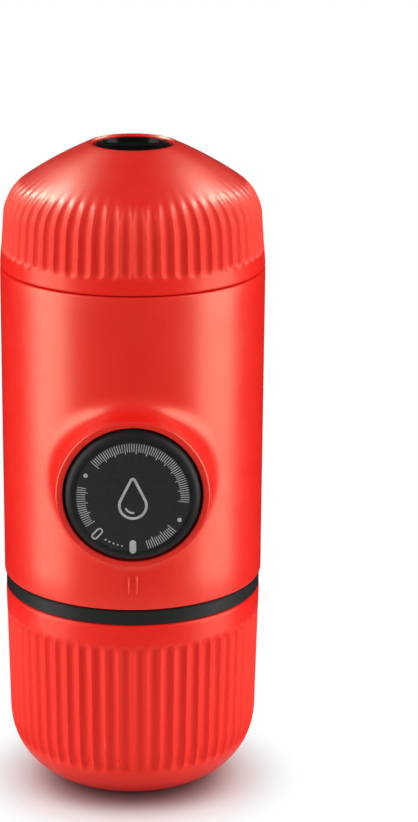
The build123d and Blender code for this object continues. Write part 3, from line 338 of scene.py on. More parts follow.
def dress(piece, body, slot, material, *nodes):
    """Gives a piece its material and its body, and hides the CAD nodes that it stands for. The slot
    is not used.
    """
    piece.data.materials.append(material)
    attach(piece, body)
    if nodes:
        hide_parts(*nodes)
    return piece


# ---- The fluted cup and dome -----------------------------------------------------------


def cup_outline():
    """The cup's section, from the middle of its base round to the middle of its floor."""
    corner = (CUP_SIDE_R - CUP_CORNER_R, CUP_CORNER_R)
    lip = (CUP_WALL - CUP_RIM_FLAT) / 2
    base = [
        (0.0, GATE_DEPTH, 0),
        (GATE_R - BASE_SLOPE, GATE_DEPTH, BASE_ROUND),
        (GATE_R, 0.0, BASE_ROUND),
        (GROOVE_R[0], 0.0, BASE_ROUND),
        (GROOVE_R[0] + BASE_SLOPE, GROOVE_DEPTH, BASE_ROUND),
        (GROOVE_R[1] - BASE_SLOPE, GROOVE_DEPTH, BASE_ROUND),
        (GROOVE_R[1], 0.0, BASE_ROUND),
        (corner[0], 0.0, 0),
    ]
    side = [
        (CUP_SIDE_R, CUP_CORNER_R, 0),
        (CUP_RIM_R, cup_rim_z, lip),
        (CUP_RIM_R - CUP_WALL, cup_rim_z, lip),
        (CUP_SIDE_R - CUP_WALL, CUP_CORNER_R, 0),
    ]
    outer_corner = arc_points(corner, CUP_CORNER_R, -90, 90, step=1.5)
    inner_corner = arc_points(corner, CUP_CORNER_R - CUP_WALL, 0, -90, step=5)
    points = divided(rounded(base), step=2.5) + outer_corner[1:]
    points += divided(rounded(side), step=0.6)[1:]
    return points + inner_corner[1:] + [(0.0, CUP_WALL)]


def make_cup():
    """The cup, with flutes from its lower corner up to a smooth rim."""
    outline = cup_outline()
    centre_r = CUP_SIDE_R - CUP_CORNER_R
    end_z = CUP_CORNER_R * (1 - math.sin(math.radians(CUP_FLUTE_TURN)))
    first = length_at(outline, lambda r, z: r > centre_r and z >= end_z)
    last = length_at(outline, lambda r, z: z >= CUP_FLUTE_TOP)
    relief = flutes(CUP_FLUTES, first + FLUTE_HALF_WIDTH, last - FLUTE_HALF_WIDTH)
    return lathe("espresso_cup_fluted", outline, flute_angles(CUP_FLUTES), relief)


def dome_outline():
    """The portafilter shell's section, closed, starting at the inner edge of its foot."""
    shoulder_z = dome_foot_z + DOME_SIDE_HEIGHT
    corner = (DOME_SIDE_R - DOME_SHOULDER_R, shoulder_z)
    side = [
        (BODY_TOP_R - DOME_WALL, dome_foot_z, 0),
        (BODY_TOP_R, dome_foot_z, EDGE_ROUND),
        (DOME_SIDE_R, shoulder_z, 0),
    ]
    shoulder = arc_points(corner, DOME_SHOULDER_R, 0, DOME_SHOULDER_TURN, step=1.5)
    rim = (MOUTH_RIM_R + LIP_WIDTH, dome_top_z - LIP_DROP)
    crown = tangent_arc(shoulder[-1], 90 + DOME_SHOULDER_TURN, rim, count=24)
    lip = [
        (*rim, 0),
        (MOUTH_RIM_R, dome_top_z, LIP_ROUND),
        (MOUTH_R, dome_top_z - LIP_WIDTH, MOUTH_ROUND),
        (MOUTH_R, insert_top_z, 0),
        (MOUTH_R + MOUTH_WALL, insert_top_z, 0),
        (MOUTH_R + MOUTH_WALL, dome_top_z - CROWN_DEPTH, 0),
    ]
    inner_r = DOME_SHOULDER_R - DOME_WALL
    inner_shoulder = arc_points(corner, inner_r, 0, DOME_SHOULDER_TURN, step=5)
    inner_crown = tangent_arc(inner_shoulder[-1], 90 + DOME_SHOULDER_TURN, lip[-1][:2], count=8)
    outer = divided(rounded(side), step=0.4) + shoulder[1:] + crown[1:]
    outer += divided(rounded(lip), step=1.5)[1:]
    return outer + inner_crown[-2::-1] + inner_shoulder[-2::-1]


def make_dome():
    """The portafilter's dome, with flutes that run out on its shoulder."""
    outline = dome_outline()
    turn = math.radians(DOME_FLUTE_TURN)
    end_r = DOME_SIDE_R - DOME_SHOULDER_R * (1 - math.cos(turn))
    end_z = dome_foot_z + DOME_SIDE_HEIGHT + DOME_SHOULDER_R * math.sin(turn)
    first = length_at(outline, lambda r, z: z >= dome_foot_z + DOME_FLUTE_FOOT)
    last = length_at(outline, lambda r, z: z >= end_z or (z > end_z - 1 and r <= end_r))
    relief = flutes(DOME_FLUTES, first + FLUTE_HALF_WIDTH, last, fade=DOME_FLUTE_FADE)
    angles = flute_angles(DOME_FLUTES)
    return lathe("portafilter_dome", outline, angles, relief, closed=True)


# ---- The body with the knob's collar ---------------------------------------------------
BODY_COLUMNS = 288
WINDOW_COLUMNS = 80  # of them, the stretch at the front that the collar's rings fill
WINDOW_ROWS = 64
OUTER_WINDOW_HALF = 24.0
INNER_WINDOW_HALF = 20.4
ROWS_ABOVE = 6  # between the outer window and the body's upper edge
COLLAR_ROWS = (0.35, 0.7)  # along the collar's side, as shares of its depth
BORE_ROWS = (0.33, 0.66, 1.0)  # along the knob's bore
BLEND_STEPS = 8  # round the collar's fillet


def body_r(z):
    """The radius of the body's outside at a height."""
    share = (z - body_foot_z) / (body_top_z - body_foot_z)
    return BODY_FOOT_R + share * (BODY_TOP_R - BODY_FOOT_R)


class Shell:
    """Vertices and faces of a wall of revolution, with rings in a window at its front."""

    def __init__(self):
        self.vertices = []
        self.faces = []

    def row(self, points):
        """Adds a row of points and returns their numbers."""
        first = len(self.vertices)
        self.vertices += [tuple(p) for p in points]
        return list(range(first, len(self.vertices)))

    def wall(self, outline, window, flip):
        """A wall from (radius, z) rows, left open between two heights at the front.

        Returns its first row, its last row and the loop of vertices round the window.
        """
        turn = 2 * math.pi / BODY_COLUMNS
        left = (BODY_COLUMNS - WINDOW_COLUMNS) // 2
        angles = math.pi / 2 + np.arange(BODY_COLUMNS) * turn
        rows = [
            self.row(zip(r * np.cos(angles), r * np.sin(angles), np.full(BODY_COLUMNS, z)))
            for r, z in outline
        ]
        right = left + WINDOW_COLUMNS
        in_window = [window[0] - TINY <= z <= window[1] + TINY for _, z in outline]
        for k in range(len(rows) - 1):
            low, high = rows[k], rows[k + 1]
            open_here = in_window[k] and in_window[k + 1]
            for i in range(BODY_COLUMNS):
                if open_here and left <= i < right:
                    continue
                j = (i + 1) % BODY_COLUMNS
                face = (low[i], low[j], high[j], high[i])
                self.faces.append(face[::-1] if flip else face)
        open_rows = [row for row, within in zip(rows, in_window) if within]
        loop = open_rows[0][left:right]
        loop += [row[right] for row in open_rows[:-1]]
        loop += open_rows[-1][right:left:-1]
        loop += [row[left] for row in open_rows[:0:-1]]
        return rows[0], rows[-1], loop

    def ring(self, radius, y, turns):
        """A ring round the pump's axis, with one radius and y or as many as there are turns."""
        radii, ys = np.broadcast_to(radius, len(turns)), np.broadcast_to(y, len(turns))
        return self.row(
            (r * math.cos(a), y, pump_z + r * math.sin(a)) for r, y, a in zip(radii, ys, turns)
        )

    def spread(self, radius, turns, loop, radius_at, count):
        """Rings on a round wall between one about the pump's axis and a window's loop."""
        corners = [self.vertices[v] for v in loop]
        radii = np.broadcast_to(radius, len(turns))
        rings = []
        for step in range(1, count):
            share = 1 - step / count
            points = []
            for (cx, _, cz), r, a in zip(corners, radii, turns):
                x = cx * share + r * math.cos(a) * (1 - share)
                z = cz * share + (pump_z + r * math.sin(a)) * (1 - share)
                points.append((x, on_wall(x, radius_at(z)), z))
            rings.append(self.row(points))
        return rings

    def cleaned(self):
        """The vertices and faces, without the vertices that no face uses."""
        used = sorted({v for face in self.faces for v in face})
        number = {v: i for i, v in enumerate(used)}
        return [self.vertices[v] for v in used], [tuple(number[v] for v in f) for f in self.faces]


def on_wall(x, radius):
    """The y of the front of a round wall at x."""
    return -math.sqrt(radius * radius - x * x)


def window_rows(half):
    """The lowest and highest z of a window round the pump's axis, and the z of its rows."""
    foot_z = pump_z - half
    rows = [foot_z + i * 2 * half / WINDOW_ROWS for i in range(WINDOW_ROWS + 1)]
    return (foot_z, pump_z + half), rows


def outer_wall(shell):
    """The body's outside with its rounded edges, left open round the collar."""
    angles = [math.radians(a) for a in (0, 30, 60, 90)]
    edge = [(EDGE_ROUND * (1 - math.cos(a)), EDGE_ROUND * (1 - math.sin(a))) for a in angles]
    window, middle = window_rows(OUTER_WINDOW_HALF)
    reach = body_top_z - EDGE_ROUND - window[1]
    above = [window[1] + reach * i / ROWS_ABOVE for i in range(1, ROWS_ABOVE)]
    foot = [(body_foot_z + rise, inset) for rise, inset in edge]
    head = [(body_top_z - fall, inset) for fall, inset in edge[::-1]]
    outline = foot + [(z, 0.0) for z in middle + above] + head
    return shell.wall([(body_r(z) - inset, z) for z, inset in outline], window, flip=False)


def collar_rings(shell, arcs, turns):
    """Rings down the collar's fillet and side, over its rounded rim and into the knob's bore."""
    rings = []
    for k in range(BLEND_STEPS + 1):
        rings.append(shell.ring([arc[k][0] for arc in arcs], [arc[k][1] for arc in arcs], turns))
    collar_y = knob_face_y + COLLAR_DEPTH
    for share in COLLAR_ROWS:
        ys = [arc[-1][1] + (collar_y + COLLAR_RIM_ROUND - arc[-1][1]) * share for arc in arcs]
        rings.append(shell.ring(COLLAR_R, ys, turns))
    bore_r = knob_r + KNOB_GAP
    bore_y = collar_y + 2 * BORE_ROUND
    rim = [
        (COLLAR_R, collar_y + COLLAR_RIM_ROUND, 0),
        (COLLAR_R, collar_y, COLLAR_RIM_ROUND),
        (bore_r, collar_y, BORE_ROUND),
        (bore_r, bore_y, 0),
    ]
    rings += [shell.ring(r, y, turns) for r, y in rounded(rim)[1:]]
    for share in BORE_ROWS:
        rings.append(shell.ring(bore_r, bore_y + (GUIDE_SEAT_Y - bore_y) * share, turns))
    return rings


def seat_rings(shell, turns):
    """Rings over the flat seat of the knob's guide and its edge, out to the body's bore."""
    rings = []
    for radius, on_pad in ((PAD_R - PAD_INSET, True), (PAD_R, True), (PAD_R + PAD_STEP, False)):
        ys = [on_wall(radius * math.cos(a), BODY_BORE_R) for a in turns]
        ys = [max(GUIDE_SEAT_Y, y) if on_pad else y for y in ys]
        rings.append(shell.ring(radius, ys, turns))
    return rings


def inner_wall(shell):
    """The body's bore with its wider ends, left open round the seat of the knob's guide."""
    window, middle = window_rows(INNER_WINDOW_HALF)
    bore = [(BODY_END_BORE_R, z) for z in (body_foot_z, deck_top_z)]
    bore += [(BODY_BORE_R, z) for z in (deck_top_z, *middle, group_plate_z)]
    bore += [(BODY_END_BORE_R, z) for z in (group_plate_z, body_top_z)]
    return shell.wall(bore, window, flip=True)


def make_body():
    """The body shell: its outside, the knob's collar and bore, and its inside, as one skin."""
    shell = Shell()
    foot, head, loop = outer_wall(shell)
    turns = [math.atan2(z - pump_z, x) for x, _, z in (shell.vertices[v] for v in loop)]
    arcs = [collar_blend(a) for a in turns]
    rings = [loop]
    rings += shell.spread([arc[0][0] for arc in arcs], turns, loop, body_r, count=8)
    rings += collar_rings(shell, arcs, turns) + seat_rings(shell, turns)
    inner_foot, inner_head, inner_loop = inner_wall(shell)
    inside = shell.spread(PAD_R + PAD_STEP, turns, inner_loop, lambda z: BODY_BORE_R, count=4)
    rings += inside[::-1] + [inner_loop]
    for before, after in [*zip(rings, rings[1:]), (inner_foot, foot), (head, inner_head)]:
        shell.faces += quads(before, after)
    return new_piece("body_shell_moulded", *shell.cleaned())


def collar_blend(turn):
    """(radius, y) points of the fillet between the body and the collar's side at one angle.

    The arc lies in the plane through the pump's axis at that angle, touches both surfaces and
    reaches as far along the one as along the other.
    """
    reach = math.cos(turn)
    radius = body_r(pump_z + COLLAR_R * math.sin(turn))
    slope = 0.0
    for _ in range(4):  # the arc's end and the wall's slope there settle in a few rounds
        r = COLLAR_R + COLLAR_FILLET * math.cos(slope)
        y = on_wall(r * reach, radius)
        slope = math.atan(r * reach * reach / -y)
    end = Vector((COLLAR_R + COLLAR_FILLET * math.cos(slope), 0))
    end.y = on_wall(end.x * reach, radius)
    knee = Vector((COLLAR_R, end.y - math.tan(slope) * (end.x - COLLAR_R)))
    start = Vector((COLLAR_R, knee.y - COLLAR_FILLET))
    weight = math.cos((math.pi / 2 - slope) / 2)
    points = []
    for i in range(BLEND_STEPS + 1):
        t = i / BLEND_STEPS
        a, b, c = (1 - t) ** 2, 2 * t * (1 - t) * weight, t * t
        points.append((end * a + knee * b + start * c) / (a + b + c))
    return points


def make_index_lines():
    """Two raised lines on the body, each a bar with round ends and a crowned top."""
    vertices, faces = [], []
    half = INDEX_WIDTH / 2
    foot_z = body_foot_z + INDEX_FOOT + half
    top_z = body_foot_z + INDEX_FOOT + INDEX_HEIGHT - half
    for side in (-1, 1):
        rows = []
        for inset, rise in INDEX_SECTION:
            reach = half - inset
            ends = arc_points((0, top_z), reach, 0, 180, step=20)
            ends += arc_points((0, foot_z), reach, 180, 180, step=20)
            rows.append(list(range(len(vertices), len(vertices) + len(ends))))
            for x, z in ends:
                x += side * INDEX_SPACING / 2
                vertices.append((x, on_wall(x, body_r(z) + rise), z))
        for low, high in zip(rows, rows[1:]):
            faces += quads(low, high)
        faces += [tuple(rows[0][::-1]), tuple(rows[-1])]
    return new_piece("index_lines", vertices, faces)


# ---- Springs ---------------------------------------------------------------------------
STEPS_PER_TURN = 36
WIRE_SIDES = 12
END_PITCH = 0.12  # of a spring's closed ends, as a share of the pitch between them
END_TURN = 0.18  # of each end, in turns, before its pitch begins to grow
OPENING_TURN = 0.9  # in which the pitch would grow from nothing to full


def make_spring(name, place, height, radius, wire_r, turns):
    """A coil spring with closed ends, from the centre line's foot to its top.

    place(radius, angle, along) gives a point at that distance from the spring's foot.
    """
    steps = int(turns * STEPS_PER_TURN)
    shares = [i / steps for i in range(steps + 1)]
    opening = [(turns * min(s, 1 - s) - END_TURN) / OPENING_TURN for s in shares]
    pitch = [min(1.0, max(END_PITCH, share)) for share in opening]
    climb = np.cumsum(pitch) - pitch[0]
    vertices, rows = [], []
    for share, rise in zip(shares, climb / climb[-1]):
        turn = 2 * math.pi * turns * share
        rows.append(list(range(len(vertices), len(vertices) + WIRE_SIDES)))
        for k in range(WIRE_SIDES):
            around = 2 * math.pi * k / WIRE_SIDES
            across = radius + wire_r * math.cos(around)
            vertices.append(place(across, turn, rise * height + wire_r * math.sin(around)))
    faces = []
    for before, after in zip(rows, rows[1:]):
        faces += quads(before, after)
    faces += [tuple(rows[0][::-1]), tuple(rows[-1])]
    return new_piece(name, vertices, faces)


def make_return_spring():
    """The spring behind the knob, along the pump's axis."""
    foot_y = spring_high[1] - SPRING_WIRE_R
    length = spring_high[1] - spring_low[1] - 2 * SPRING_WIRE_R

    def place(radius, turn, along):
        return (radius * math.cos(turn), foot_y - along, pump_z + radius * math.sin(turn))

    name = "return_spring_coil"
    return make_spring(name, place, length, SPRING_R, SPRING_WIRE_R, SPRING_TURNS)


def make_valve_spring():
    """The small upright spring on the outlet valve's poppet."""
    foot_z = valve_spring_low[2] + VALVE_SPRING_WIRE_R
    length = valve_spring_high[2] - valve_spring_low[2] - 2 * VALVE_SPRING_WIRE_R

    def place(radius, turn, along):
        return (radius * math.cos(turn), valve_spring_y + radius * math.sin(turn), foot_z + along)

    wire_r, turns = VALVE_SPRING_WIRE_R, VALVE_SPRING_TURNS
    return make_spring("valve_spring_coil", place, length, VALVE_SPRING_R, wire_r, turns)


# ---- Print on the dial -----------------------------------------------------------------
PRINT_PROUD = 0.03
MARK_R = 11.8  # of the lock marks' centres from the knob's axis
MARK_LENGTH = 3.2
MARK_WIDTH = 1.5
HOLLOW_MARK_WIDTH = 1.6
MARK_LINE = 0.38  # of the hollow mark
UNLOCK_TURN = 43.0  # of the hollow mark, in degrees
STEP_DOT_TURNS = [12.0 + 4.85 * i for i in range(5)]
STEP_DOT_R = 0.22
END_DOT_TURNS = (116.0, -63.0)
END_DOT_R = 0.5
TICK_SPANS = ((57.0, 102.0), (132.0, 275.0), (310.0, 345.0))  # degrees
TICK_PITCH = 2.6  # degrees
TICK_INNER_R = 10.2  # of the long ticks, one in five
TICK_SHORTER = 0.5  # how much further out the others start
TICK_OUTER_R = 12.7
TICK_WIDTH = 0.17
DROP_R = 3.35
DROP_TIP = 5.6  # of the drop's sharp tip above the knob's axis
DROP_FOOT = -5.3
DROP_TIP_ROUND = 0.75
DROP_LINE = 0.6
SHINE_GAP = 0.78  # between the drop's line and the shine in it
SHINE_LINE = 0.48


class Print:
    """Flat marks on the knob's face. Turns run clockwise from the foot of the dial."""

    def __init__(self):
        self.vertices = []
        self.faces = []

    def loop(self, points, y):
        """Adds (x, z) points about the knob's axis at one y, and returns their numbers."""
        first = len(self.vertices)
        self.vertices += [(x, y, pump_z + z) for x, z in points]
        return list(range(first, len(self.vertices)))

    def area(self, outline, hole=None):
        """A mark with an anticlockwise outline and, in the middle, a hole of as many points."""
        front = self.loop(outline, knob_face_y - PRINT_PROUD)
        back = self.loop(outline, knob_face_y + PRINT_PROUD)
        self.faces += quads(back, front)
        if hole is None:
            self.faces.append(tuple(front))
            return
        inner = self.loop(hole, knob_face_y - PRINT_PROUD)
        inner_back = self.loop(hole, knob_face_y + PRINT_PROUD)
        self.faces += quads(front, inner) + quads(inner, inner_back)


def turned(points, radius, turn):
    """Points drawn about the origin with their foot outwards, moved out to a place on the dial."""
    a = math.radians(-turn)
    c, s = math.cos(a), math.sin(a)
    return [(x * c - (z - radius) * s, x * s + (z - radius) * c) for x, z in points]


def dot(radius, step):
    """A disc, with a point at every step in degrees."""
    return arc_points((0, 0), radius, 0, 360 - step, step)


def pill(width, length, step=18):
    """An upright bar with round ends."""
    r = width / 2
    reach = length / 2 - r
    return arc_points((0, reach), r, 0, 180, step) + arc_points((0, -reach), r, 180, 180, step)


def drop(inset):
    """A drop with its tip up, as much smaller all round as inset."""
    centre_z = DROP_FOOT + DROP_R
    half = math.asin(DROP_R / (DROP_TIP - centre_z))
    tip_z = DROP_TIP - DROP_TIP_ROUND / math.sin(half)
    turn = math.degrees(half)
    belly = arc_points((0, centre_z), DROP_R - inset, 180 - turn, 180 + 2 * turn, step=5)
    return belly + arc_points((0, tip_z), DROP_TIP_ROUND - inset, turn, 180 - 2 * turn, step=12)


def make_print():
    """The dial's marks: locked, unlocked and the steps between, end dots, ticks and a drop."""
    marks = Print()
    marks.area(turned(pill(MARK_WIDTH, MARK_LENGTH), MARK_R, 0))
    outline = pill(HOLLOW_MARK_WIDTH, MARK_LENGTH)
    inside = pill(HOLLOW_MARK_WIDTH - 2 * MARK_LINE, MARK_LENGTH - 2 * MARK_LINE)
    marks.area(turned(outline, MARK_R, UNLOCK_TURN), turned(inside, MARK_R, UNLOCK_TURN))
    for turn in STEP_DOT_TURNS:
        marks.area(turned(dot(STEP_DOT_R, step=30), MARK_R, turn))
    for turn in END_DOT_TURNS:
        marks.area(turned(dot(END_DOT_R, step=15), MARK_R, turn))
    for first, last in TICK_SPANS:
        count = round((last - first) / TICK_PITCH)
        for i in range(count + 1):
            inner_r = TICK_INNER_R + (TICK_SHORTER if i % 5 else 0.0)
            middle = (inner_r + TICK_OUTER_R) / 2
            tick = pill(TICK_WIDTH, TICK_OUTER_R - inner_r, step=45)
            marks.area(turned(tick, middle, first + i * TICK_PITCH))
    marks.area(drop(0.0), drop(DROP_LINE))
    shine_r = DROP_R - DROP_LINE - SHINE_GAP
    shine_centre = (0, DROP_FOOT + DROP_R)
    shine = arc_points(shine_centre, shine_r, 200, 80, step=8)
    shine += arc_points(shine_centre, shine_r - SHINE_LINE, 280, -80, step=8)
    marks.area(shine)
    return new_piece("dial_print_marks", marks.vertices, marks.faces)


# ---- Finishes --------------------------------------------------------------------------


class Finish:
    """A procedural material: a Principled shader and the nodes that feed it."""

    def __init__(self, name, **sockets):
        self.material = bpy.data.materials.new(name)
        self.material.use_nodes = True
        self.tree = self.material.node_tree
        self.shader = self.tree.nodes["Principled BSDF"]
        self.place = self.node("ShaderNodeTexCoord").outputs["Object"]
        self.normal = None
        for socket, value in sockets.items():
            self.shader.inputs[socket.replace("_", " ")].default_value = value

    def node(self, kind, inputs=None, **settings):
        """Adds a node, with its settings, and its inputs as values or as other nodes' outputs."""
        node = self.tree.nodes.new(kind)
        for key, value in settings.items():
            setattr(node, key, value)
        for key, value in (inputs or {}).items():
            if isinstance(value, bpy.types.NodeSocket):
                self.tree.links.new(value, node.inputs[key])
            else:
                node.inputs[key].default_value = value
        return node

    def stretched(self, x, y, z):
        """Places scaled along each axis, for grain that runs one way."""
        return self.node(
            "ShaderNodeMapping", {"Vector": self.place, "Scale": (x, y, z)}
        ).outputs["Vector"]

    def noise(self, size, detail, place=None, distortion=0.0):
        """Noise with features of about size millimetres."""
        return self.node(
            "ShaderNodeTexNoise",
            {
                "Vector": place or self.place,
                "Scale": 1000 / size,
                "Detail": detail,
                "Distortion": distortion,
            },
        ).outputs["Fac"]

    def ranged(self, value, low, high, start=0.3, end=0.7):
        """A value that goes from low to high as another goes from start to end."""
        return self.node(
            "ShaderNodeMapRange",
            {"Value": value, "From Min": start, "From Max": end, "To Min": low, "To Max": high},
        ).outputs["Result"]

    def tint(self, factor, first, second):
        """A colour between two others."""
        node = self.node("ShaderNodeMix", {"Factor": factor}, data_type="RGBA")
        for key, value in (("A", first), ("B", second)):
            socket = next(s for s in node.inputs if s.name == key and s.type == "RGBA")
            if isinstance(value, bpy.types.NodeSocket):
                self.tree.links.new(value, socket)
            else:
                socket.default_value = (*value, 1.0)
        return next(s for s in node.outputs if s.type == "RGBA")

    def edges(self, start, end):
        """How far a place is a sharp outer edge, by its pointiness, from 0 to 1."""
        point = self.node("ShaderNodeNewGeometry").outputs["Pointiness"]
        return self.ranged(point, 0.0, 1.0, start, end)

    def mottled(self, size, detail, first, second):
        """A colour that drifts between two others, in patches of about size millimetres."""
        return self.tint(self.ranged(self.noise(size, detail), 0.0, 1.0), first, second)

    def relief(self, height, depth):
        """Adds a bump of depth millimetres from a 0 to 1 height."""
        inputs = {"Height": height, "Distance": depth * MM}
        if self.normal:
            inputs["Normal"] = self.normal
        self.normal = self.node("ShaderNodeBump", inputs).outputs["Normal"]

    def done(self, colour, roughness=None):
        """Links what varies to the shader and gives the material."""
        self.tree.links.new(colour, self.shader.inputs["Base Color"])
        if roughness:
            self.tree.links.new(roughness, self.shader.inputs["Roughness"])
        if self.normal:
            self.tree.links.new(self.normal, self.shader.inputs["Normal"])
        return self.material


def red_plastic(name, gloss):
    """Satin moulded plastic, tinted through, with a fine spark-eroded grain and a painted highlight
    of paler red along its sharp edges.
    """
    f = Finish(name, Specular_IOR_Level=gloss, Specular_Tint=(1.0, 0.84, 0.58, 1.0))
    tone = f.mottled(26, 3, (0.79, 0.010, 0.007), (0.83, 0.013, 0.009))
    fleck = f.tint(f.ranged(f.noise(0.9, 2), 0.0, 0.35), tone, (0.74, 0.009, 0.007))
    # Painted highlight: sharp edges, such as the flutes' crests and the rims, are drawn a paler
    # red.
    lightened = f.tint(f.edges(0.53, 0.66), fleck, (0.88, 0.03, 0.025))
    band = f.node("ShaderNodeAttribute", attribute_name="fluted").outputs["Fac"]
    sheen = f.ranged(band, f.ranged(f.noise(7, 3), 0.32, 0.38), 0.62, 0.0, 1.0)
    f.relief(f.noise(0.28, 3), 0.006)
    f.relief(f.noise(14, 2), 0.05)
    return f.done(lightened, sheen)


def black_plastic():
    """Satin black moulding with a fine grain and paler edges."""
    f = Finish("black_satin_plastic", Specular_IOR_Level=0.2)
    tone = f.mottled(12, 3, (0.009, 0.0094, 0.0098), (0.014, 0.0145, 0.015))
    lightened = f.tint(f.edges(0.54, 0.7), tone, (0.024, 0.025, 0.026))
    sheen = f.ranged(f.noise(5, 3), 0.42, 0.5)
    f.relief(f.noise(0.3, 3), 0.006)
    return f.done(lightened, sheen)


def dial_face():
    """The dial's matt charcoal face."""
    f = Finish("dial_charcoal", Specular_IOR_Level=0.4)
    tone = f.mottled(9, 3, (0.012, 0.0125, 0.013), (0.017, 0.0175, 0.018))
    fleck = f.tint(f.ranged(f.noise(0.35, 2), 0.0, 0.5), tone, (0.03, 0.031, 0.032))
    sheen = f.ranged(f.noise(4, 3), 0.46, 0.55)
    f.relief(f.noise(0.22, 3), 0.008)
    return f.done(fleck, sheen)


def dial_print():
    """Pale grey pad print, thin in places."""
    f = Finish("pale_grey_print", Specular_IOR_Level=0.3)
    tone = f.mottled(2.4, 4, (0.33, 0.335, 0.34), (0.44, 0.445, 0.45))
    thin = f.tint(f.ranged(f.noise(0.3, 3), 0.0, 0.4, 0.55, 0.8), tone, (0.2, 0.203, 0.206))
    sheen = f.ranged(f.noise(1.5, 2), 0.45, 0.6)
    f.relief(f.noise(0.2, 2), 0.005)
    return f.done(thin, sheen)


def grip_rubber():
    """Dark rubbery plastic with a soft sheen."""
    f = Finish("black_grip_rubber", Specular_IOR_Level=0.9)
    tone = f.mottled(10, 3, (0.020, 0.0205, 0.021), (0.028, 0.0285, 0.029))
    dust = f.tint(f.ranged(f.noise(0.4, 3), 0.0, 0.4, 0.55, 0.8), tone, (0.04, 0.041, 0.042))
    sheen = f.ranged(f.noise(6, 3), 0.32, 0.4)
    f.relief(f.noise(0.3, 3), 0.008)
    return f.done(dust, sheen)


def gloss_black():
    """Polished black plastic with faint waves and fine scuffs."""
    f = Finish("black_gloss_plastic", Specular_IOR_Level=0.5)
    tone = f.mottled(6, 2, (0.006, 0.006, 0.0065), (0.010, 0.010, 0.011))
    scuff = f.noise(0.5, 4, f.stretched(1, 6, 1), 0.4)
    lightened = f.tint(f.ranged(scuff, 0.0, 0.5, 0.62, 0.75), tone, (0.03, 0.03, 0.032))
    sheen = f.ranged(scuff, 0.16, 0.28, 0.5, 0.75)
    f.relief(f.noise(5, 2), 0.02)
    return f.done(lightened, sheen)


def pump_plastic():
    """Natural acetal: milky, with faint flow lines and a waxy gloss."""
    f = Finish(
        "natural_acetal", Specular_IOR_Level=0.5, Subsurface_Weight=0.15, Subsurface_Scale=0.0015
    )
    flow = f.noise(5, 4, f.stretched(1, 1, 0.35), 1.5)
    tone = f.tint(f.ranged(flow, 0.0, 1.0), (0.70, 0.70, 0.67), (0.78, 0.77, 0.74))
    sheen = f.ranged(f.noise(3, 3), 0.26, 0.36)
    f.relief(f.noise(0.5, 3), 0.006)
    return f.done(tone, sheen)


def silicone():
    """Grey food-grade silicone, matt and a little cloudy."""
    f = Finish(
        "grey_silicone", Specular_IOR_Level=0.35, Subsurface_Weight=0.2, Subsurface_Scale=0.001
    )
    tone = f.mottled(3, 4, (0.36, 0.37, 0.38), (0.46, 0.47, 0.48))
    dust = f.tint(f.ranged(f.noise(0.25, 2), 0.0, 0.5, 0.6, 0.8), tone, (0.6, 0.6, 0.6))
    sheen = f.ranged(f.noise(2, 3), 0.5, 0.62)
    f.relief(f.noise(0.35, 3), 0.01)
    return f.done(dust, sheen)


def stainless():
    """Stainless steel, drawn or turned, with fine lines one way and slight stains."""
    f = Finish("stainless_steel", Metallic=1.0)
    lines = f.noise(0.35, 3, f.stretched(1, 1, 9))
    tone = f.mottled(4, 3, (0.56, 0.555, 0.55), (0.66, 0.655, 0.645))
    lined = f.tint(f.ranged(lines, 0.0, 0.3), tone, (0.48, 0.475, 0.47))
    sheen = f.ranged(lines, 0.2, 0.34)
    f.relief(lines, 0.004)
    return f.done(lined, sheen)


FINISHES = {
    "red_shell": red_plastic("red_satin_plastic", 0.95),
    "black_plastic": black_plastic(),
    "dial_print": dial_face(),
    "gloss_black": gloss_black(),
    "pump_plastic": pump_plastic(),
    "silicone": silicone(),
    "stainless": stainless(),
}
GRIP_FINISH = red_plastic("red_grip_plastic", 0.5)
PRINT_FINISH = dial_print()

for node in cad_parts.values():
    for material_slot in node.material_slots:
        material_slot.material = FINISHES[material_slot.material.name.split(".")[0]]
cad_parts["cup_grip_ring"].material_slots[0].material = grip_rubber()


# ---- The dressed object ----------------------------------------------------------------
red = FINISHES["red_shell"]
steel = FINISHES["stainless"]

dress(make_cup(), "cup", "red_shell", GRIP_FINISH, "espresso_cup")
dome = dress(make_dome(), "portafilter", "red_shell", GRIP_FINISH, "portafilter_shell")
dress(make_body(), "main_body", "red_shell", red, "body_shell")
dress(make_index_lines(), "main_body", "red_shell", red)
dress(make_print(), "knob", "dial_print", PRINT_FINISH)

return_spring = make_return_spring()
return_spring.data.materials.append(steel)
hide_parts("return_spring")
spring_axis = [(0, spring_high[1] * MM, pump_z * MM), (0, spring_low[1] * MM, pump_z * MM)]
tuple(spring_axis[0])
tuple(spring_axis[1])
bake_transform(return_spring)

valve_spring = make_valve_spring()
valve_spring.data.materials.append(steel)
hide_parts("outlet_valve_spring")
valve_y = valve_spring_y * MM
valve_axis = [(0, valve_y, valve_spring_high[2] * MM), (0, valve_y, valve_spring_low[2] * MM)]
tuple(valve_axis[0])
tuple(valve_axis[1])
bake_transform(valve_spring)


# ---- Studio ----------------------------------------------------------------------------
LIGHT_AZIMUTH = 76.5  # degrees to each side of the camera's direction
LIGHT_DISTANCE = 0.9
LIGHT_SIZE = (0.66, 1.3)
LIGHT_CENTRE_Z = 0.25
LIGHT_AIM = (0, 0, 0.08)
LIGHT_POWER = 11.3
LIGHT_COLOUR = (1.0, 0.97, 0.94)
SHEEN_DIRECTION = (0.66, 0.38, 0.65)  # of the panels that only show as a sheen
SHEEN_SIZE = 0.36
SHEEN_POWERS = (14.0, 10.0)  # left and right
ROOM_GLOW = 0.4  # brightness of the room before the object
ROOM_BACK = 0.06  # and of the room beyond it
ROOM_TURN = (0.4, -0.1)  # the y of the directions between which it goes from back to front
ROOM_CANOPY = 0.12  # added by the soft light before the object
CANOPY_START = (0.0, 0.3)  # the z of the directions between which the canopy fades in
CANOPY_END = (0.85, 0.5)  # and out again, nearly overhead
CANOPY_TURN = (0.0, -0.5)  # and the y of those between which it grows
